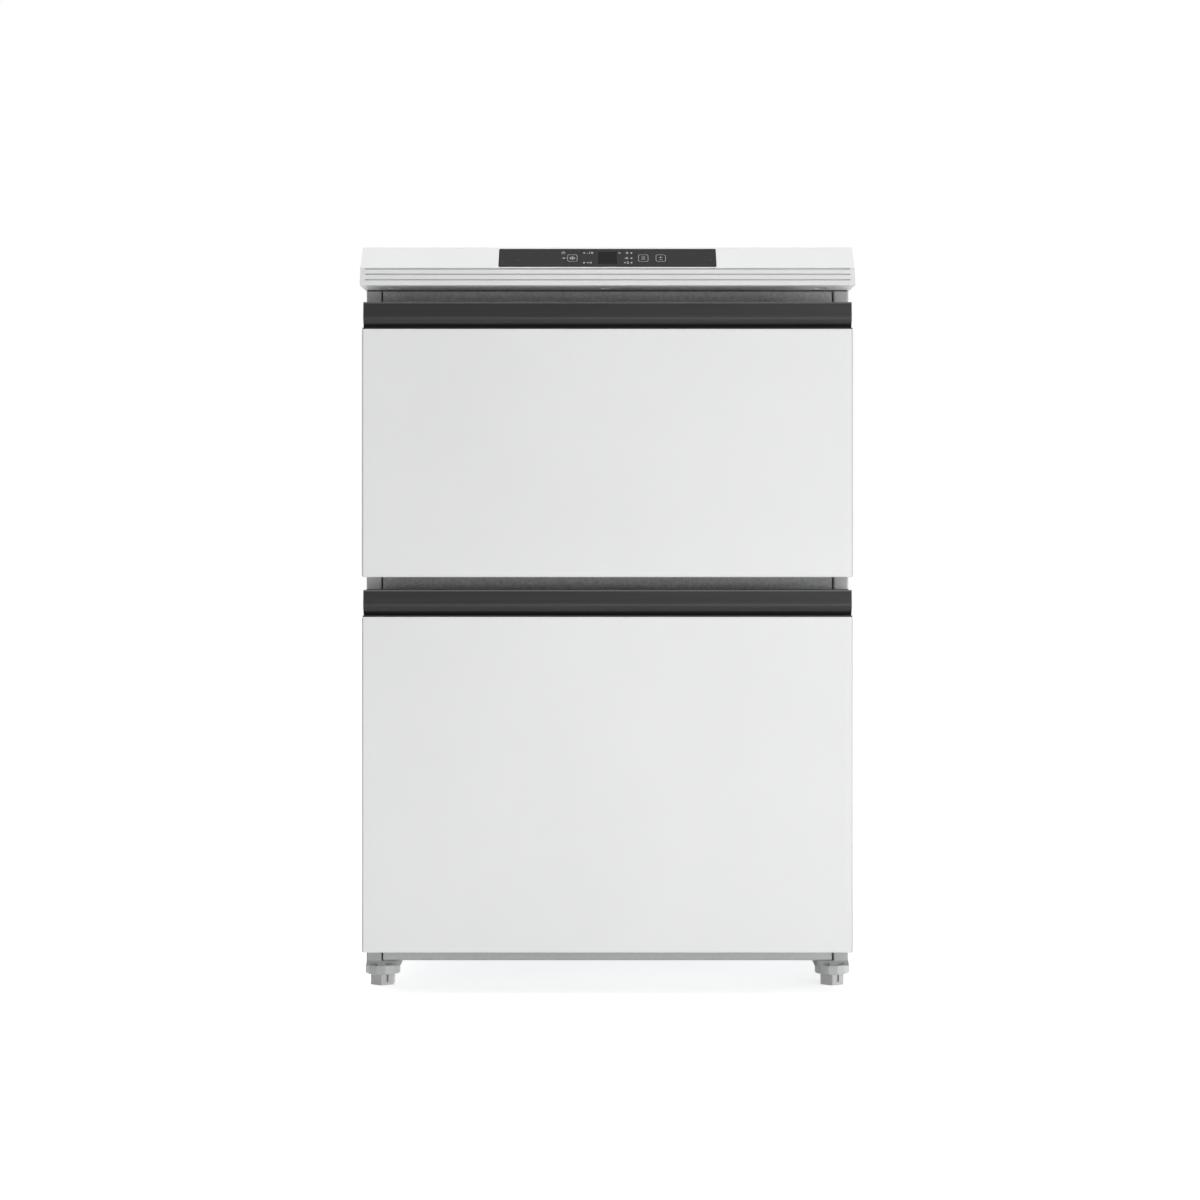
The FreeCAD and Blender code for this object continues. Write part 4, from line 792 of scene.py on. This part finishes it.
floor_reach = 12.0
mesh = bpy.data.meshes.new("floor")
mesh.from_pydata([(floor_reach * x, floor_reach * y, 0)
                  for x, y in ((-1, -1), (1, -1), (1, 1), (-1, 1))], [], [(0, 1, 2, 3)])
floor = put("floor", mesh)
floor_paint, tree, shader = finish("floor paint", 0.8)
shader.inputs["Base Color"].default_value = (0.9, 0.9, 0.9, 1)
shader.inputs["Emission Color"].default_value = (1, 1, 1, 1)
fade_start, fade_end, near_white, far_white = 0.3, 1.2, 0.62, 1.0
away = step(tree, "ShaderNodeVectorMath", {0: own_place(tree)}, operation="LENGTH")
fade = spread(tree, away.node.outputs["Value"], fade_start, fade_end, near_white, far_white)
shown = sums(tree, "MULTIPLY", fade, seen_directly(tree))
tree.links.new(shown, shader.inputs["Emission Strength"])
floor.data.materials.append(floor_paint)

world = bpy.data.worlds.new("surround")
bpy.context.scene.world = world
world.use_nodes = True
tree = world.node_tree
backdrop = tree.nodes["Background"]
backdrop.inputs["Color"].default_value = (1, 1, 1, 1)
bounced, pictured = 0.2, 1.0
level = spread(tree, seen_directly(tree), first=bounced, last=pictured)
tree.links.new(level, backdrop.inputs["Strength"])

softboxes = [
    # name, place, aim, width, height, watts
    ("key lamp", (1.6, -5.0, 1.4), (0, -0.25, 0.8), 1.6, 4.0, 48),
    ("top lamp", (0.0, -0.7, 3.0), (0, -0.3, 0.8), 2.4, 1.6, 46),
    ("low lamp", (0.5, -2.6, 0.2), (0, -0.25, 0.6), 2.0, 0.38, 9),
    ("right lamp", (2.6, -2.05, 0.30), (0.1, -0.25, 0.1), 0.8, 0.6, 17),
    ("side lamp", (2.4, -0.42, 0.08), (0, -0.2, 0.02), 0.3, 0.14, 20),
    ("rear lamp", (-2.7, 2.5, 1.6), (-0.1, 0.15, 0.4), 1.8, 1.8, 40),
]
for name, place, aim, width, height, watts in softboxes:
    lamp = bpy.data.lights.new(name, "AREA")
    lamp.shape = "RECTANGLE"
    lamp.size, lamp.size_y = width, height
    lamp.energy = watts
    holder = put(name, lamp)
    holder.location = place
    look = Vector(aim) - Vector(place)
    holder.rotation_euler = look.to_track_quat("-Z", "Y").to_euler()

picture, focal, shift_x, shift_y = 1200, 2695, -7.5, -80  # pixels
camera = bpy.data.cameras.new("camera")
camera.sensor_width = 36
camera.lens = camera.sensor_width * focal / picture
camera.shift_x, camera.shift_y = shift_x / picture, shift_y / picture
eye = put("camera", camera)
eye.location = (0, -3.3365, 0.5387)
eye.rotation_euler = (math.radians(90), 0, 0)
bpy.context.scene.camera = eye
